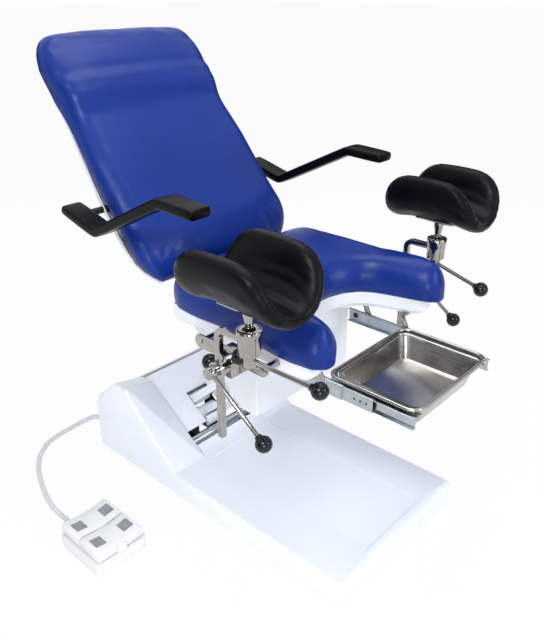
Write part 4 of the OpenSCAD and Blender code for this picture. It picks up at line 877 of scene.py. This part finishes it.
# Rolled rim of the tray: a flange that rises over the slides and ends in a bead
BEAD, BEAD_Z, BEAD_STEPS = 0.0040, 0.6288, 20
levels = [(0.1625, -0.6625, -0.4045, 0.6212, 0.022), (0.1700, -0.6640, -0.4010, 0.6228, 0.026)]
for k in range(BEAD_STEPS + 1):
    a = math.radians(-90 + 330 * k / BEAD_STEPS)
    reach = BEAD * math.cos(a)
    levels.append((0.1815 + reach, -0.6630 - reach * 0.9, -0.3970 + reach * 0.9, BEAD_Z + BEAD * math.sin(a), 0.030))
loops = [round_rectangle(*level) for level in levels]
rim = mesh_object("tray_rolled_rim", [v for loop in loops for v in loop], skin(len(loops), len(loops[0])), TRAY)
thick = rim.modifiers.new("sheet", "SOLIDIFY")
thick.thickness = 0.0006
thick.offset = 1
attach(rim, "tray")

# Two grey tread pads on each rocker pedal, lying on the slopes of its two halves
TREAD_HALF, TREAD_NEAR, TREAD_FAR = 0.020, 0.014, 0.050
PEDAL_FALL, PEAK_INSET, VALLEY_OFFSET = 0.008, 0.008, 0.016
for pedal, y0, y1 in (("pedal_rear", 0.1176, 0.2074), ("pedal_front", 0.0206, 0.1104)):
    low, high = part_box(pedal)
    ya, yb = (y0 + y1) / 2 - TREAD_HALF, (y0 + y1) / 2 + TREAD_HALF
    spans = ((low.x + TREAD_NEAR, low.x + TREAD_FAR), (high.x - TREAD_FAR, high.x - TREAD_NEAR))
    for k, (xa, xb) in enumerate(spans):
        peak_x = low.x + PEAK_INSET if k == 0 else high.x - PEAK_INSET
        valley_x = (low.x + high.x) / 2 + (-VALLEY_OFFSET if k == 0 else VALLEY_OFFSET)
        verts = []
        for dz in (-0.0006, 0.0014):
            for x, y in ((xa, ya), (xb, ya), (xb, yb), (xa, yb)):
                verts.append((x, y, high.z - PEDAL_FALL * abs(x - peak_x) / abs(valley_x - peak_x) + dz))
        ob = mesh_object("tread_%s_%d" % (pedal, k), verts,
                         [(3, 2, 1, 0), (4, 5, 6, 7), (0, 1, 5, 4), (1, 2, 6, 5), (2, 3, 7, 6), (3, 0, 4, 7)],
                         TREAD, False)
        bevel(ob, 0.0012, 20)
        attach(ob, pedal)

# ---------------------------------------------------------------- floor, light and world

FLOOR_SHARE, WORLD_SHARE = 0.92, 1.0  # how much of the plain backdrop the camera and shiny pieces see


def backdrop_share(tree, share):
    """Light Path's camera, glossy and transmission rays together, times a share."""
    path, out = tree.nodes.new("ShaderNodeLightPath"), None
    for ray in ("Is Camera Ray", "Is Glossy Ray", "Is Transmission Ray"):
        if out is None:
            out = path.outputs[ray]
            continue
        top = tree.nodes.new("ShaderNodeMath")
        top.operation = "MAXIMUM"
        tree.links.new(out, top.inputs[0])
        tree.links.new(path.outputs[ray], top.inputs[1])
        out = top.outputs[0]
    times = tree.nodes.new("ShaderNodeMath")
    times.operation = "MULTIPLY"
    times.inputs[1].default_value = share
    tree.links.new(out, times.inputs[0])
    return times.outputs[0]


def mixed_surface(tree, share, first, second, output):
    """Sends the first shader node, and the second by the share's socket, to the output node."""
    both = tree.nodes.new("ShaderNodeMixShader")
    for k, socket in enumerate((share, first.outputs[0], second.outputs[0])):
        tree.links.new(socket, both.inputs[k])
    tree.links.new(both.outputs[0], tree.nodes[output].inputs["Surface"])


floor_pale = bpy.data.materials.new("floor_pale")
floor_pale.use_nodes = True
tree = floor_pale.node_tree
matt = tree.nodes["Principled BSDF"]
matt.inputs["Base Color"].default_value = (0.9, 0.9, 0.9, 1)
matt.inputs["Roughness"].default_value = 0.9
matt.inputs["Specular IOR Level"].default_value = 0.1
plain = tree.nodes.new("ShaderNodeEmission")
plain.inputs["Strength"].default_value = 1.0
mixed_surface(tree, backdrop_share(tree, FLOOR_SHARE), matt, plain, "Material Output")
floor = mesh_object("floor", [(-40, -40, 0), (40, -40, 0), (40, 40, 0), (-40, 40, 0)], [(0, 1, 2, 3)], floor_pale)
floor.location.z = -0.0005

world = bpy.data.worlds.new("world")
bpy.context.scene.world = world
world.use_nodes = True
tree = world.node_tree
dim = tree.nodes["Background"]
dim.inputs["Color"].default_value = (0.90, 0.94, 1.0, 1)
dim.inputs["Strength"].default_value = 0.62
white = tree.nodes.new("ShaderNodeBackground")
white.inputs["Color"].default_value = (1, 1, 1, 1)
white.inputs["Strength"].default_value = 1.0
mixed_surface(tree, backdrop_share(tree, WORLD_SHARE), dim, white, "World Output")

# Dark flags that only reflections show, so that chrome and leather get the studio's dark edges
flag_dark = bpy.data.materials.new("flag_dark")
flag_dark.use_nodes = True
tree = flag_dark.node_tree
seen, clear = tree.nodes.new("ShaderNodeEmission"), tree.nodes.new("ShaderNodeBsdfTransparent")
seen.inputs["Color"].default_value = (0.055, 0.055, 0.06, 1)
glossy = tree.nodes.new("ShaderNodeLightPath").outputs["Is Glossy Ray"]
mixed_surface(tree, glossy, clear, seen, "Material Output")
FLAGS = ((-4.2, 2.4, -4.2, -0.4, 0.1, 3.6), (-4.0, -2.2, -1.6, -4.6, 0.1, 3.8), (2.2, -4.6, 4.4, -2.0, 0.1, 3.4),
         (4.6, -0.6, 4.0, 3.2, 0.1, 3.4), (-2.4, 4.4, 1.6, 4.8, 0.3, 2.6))
for k, (x0, y0, x1, y1, z0, z1) in enumerate(FLAGS):
    flag = mesh_object("flag_%d" % k, [(x0, y0, z0), (x1, y1, z0), (x1, y1, z1), (x0, y0, z1)], [(0, 1, 2, 3)],
                       flag_dark, False)

for name, place, aim, size, power, colour in (
        ("key", (-2.4, -1.3, 2.9), (0, 0, 0.6), (0.7, 0.6), 48, (1.0, 0.98, 0.95)),
        ("fill", (0.9, -3.2, 1.9), (0, 0, 0.6), (1.1, 0.9), 24, (0.95, 0.97, 1.0)),
        ("front", (-2.3, -2.4, 0.95), (0, 0, 0.45), (0.9, 0.9), 30, (0.98, 0.99, 1.0)),
        ("top", (0.2, 0.2, 3.4), (0, 0, 0), (1.8, 1.8), 34, (0.97, 0.98, 1.0))):
    data = bpy.data.lights.new(name, "AREA")
    data.shape = "RECTANGLE"
    data.size, data.size_y = size
    data.energy = power
    data.color = colour
    lamp = bpy.data.objects.new(name, data)
    bpy.context.scene.collection.objects.link(lamp)
    lamp.location = place
    lamp.rotation_euler = (Vector(aim) - Vector(place)).to_track_quat("-Z", "Y").to_euler()

bpy.context.scene.view_settings.view_transform = "Standard"
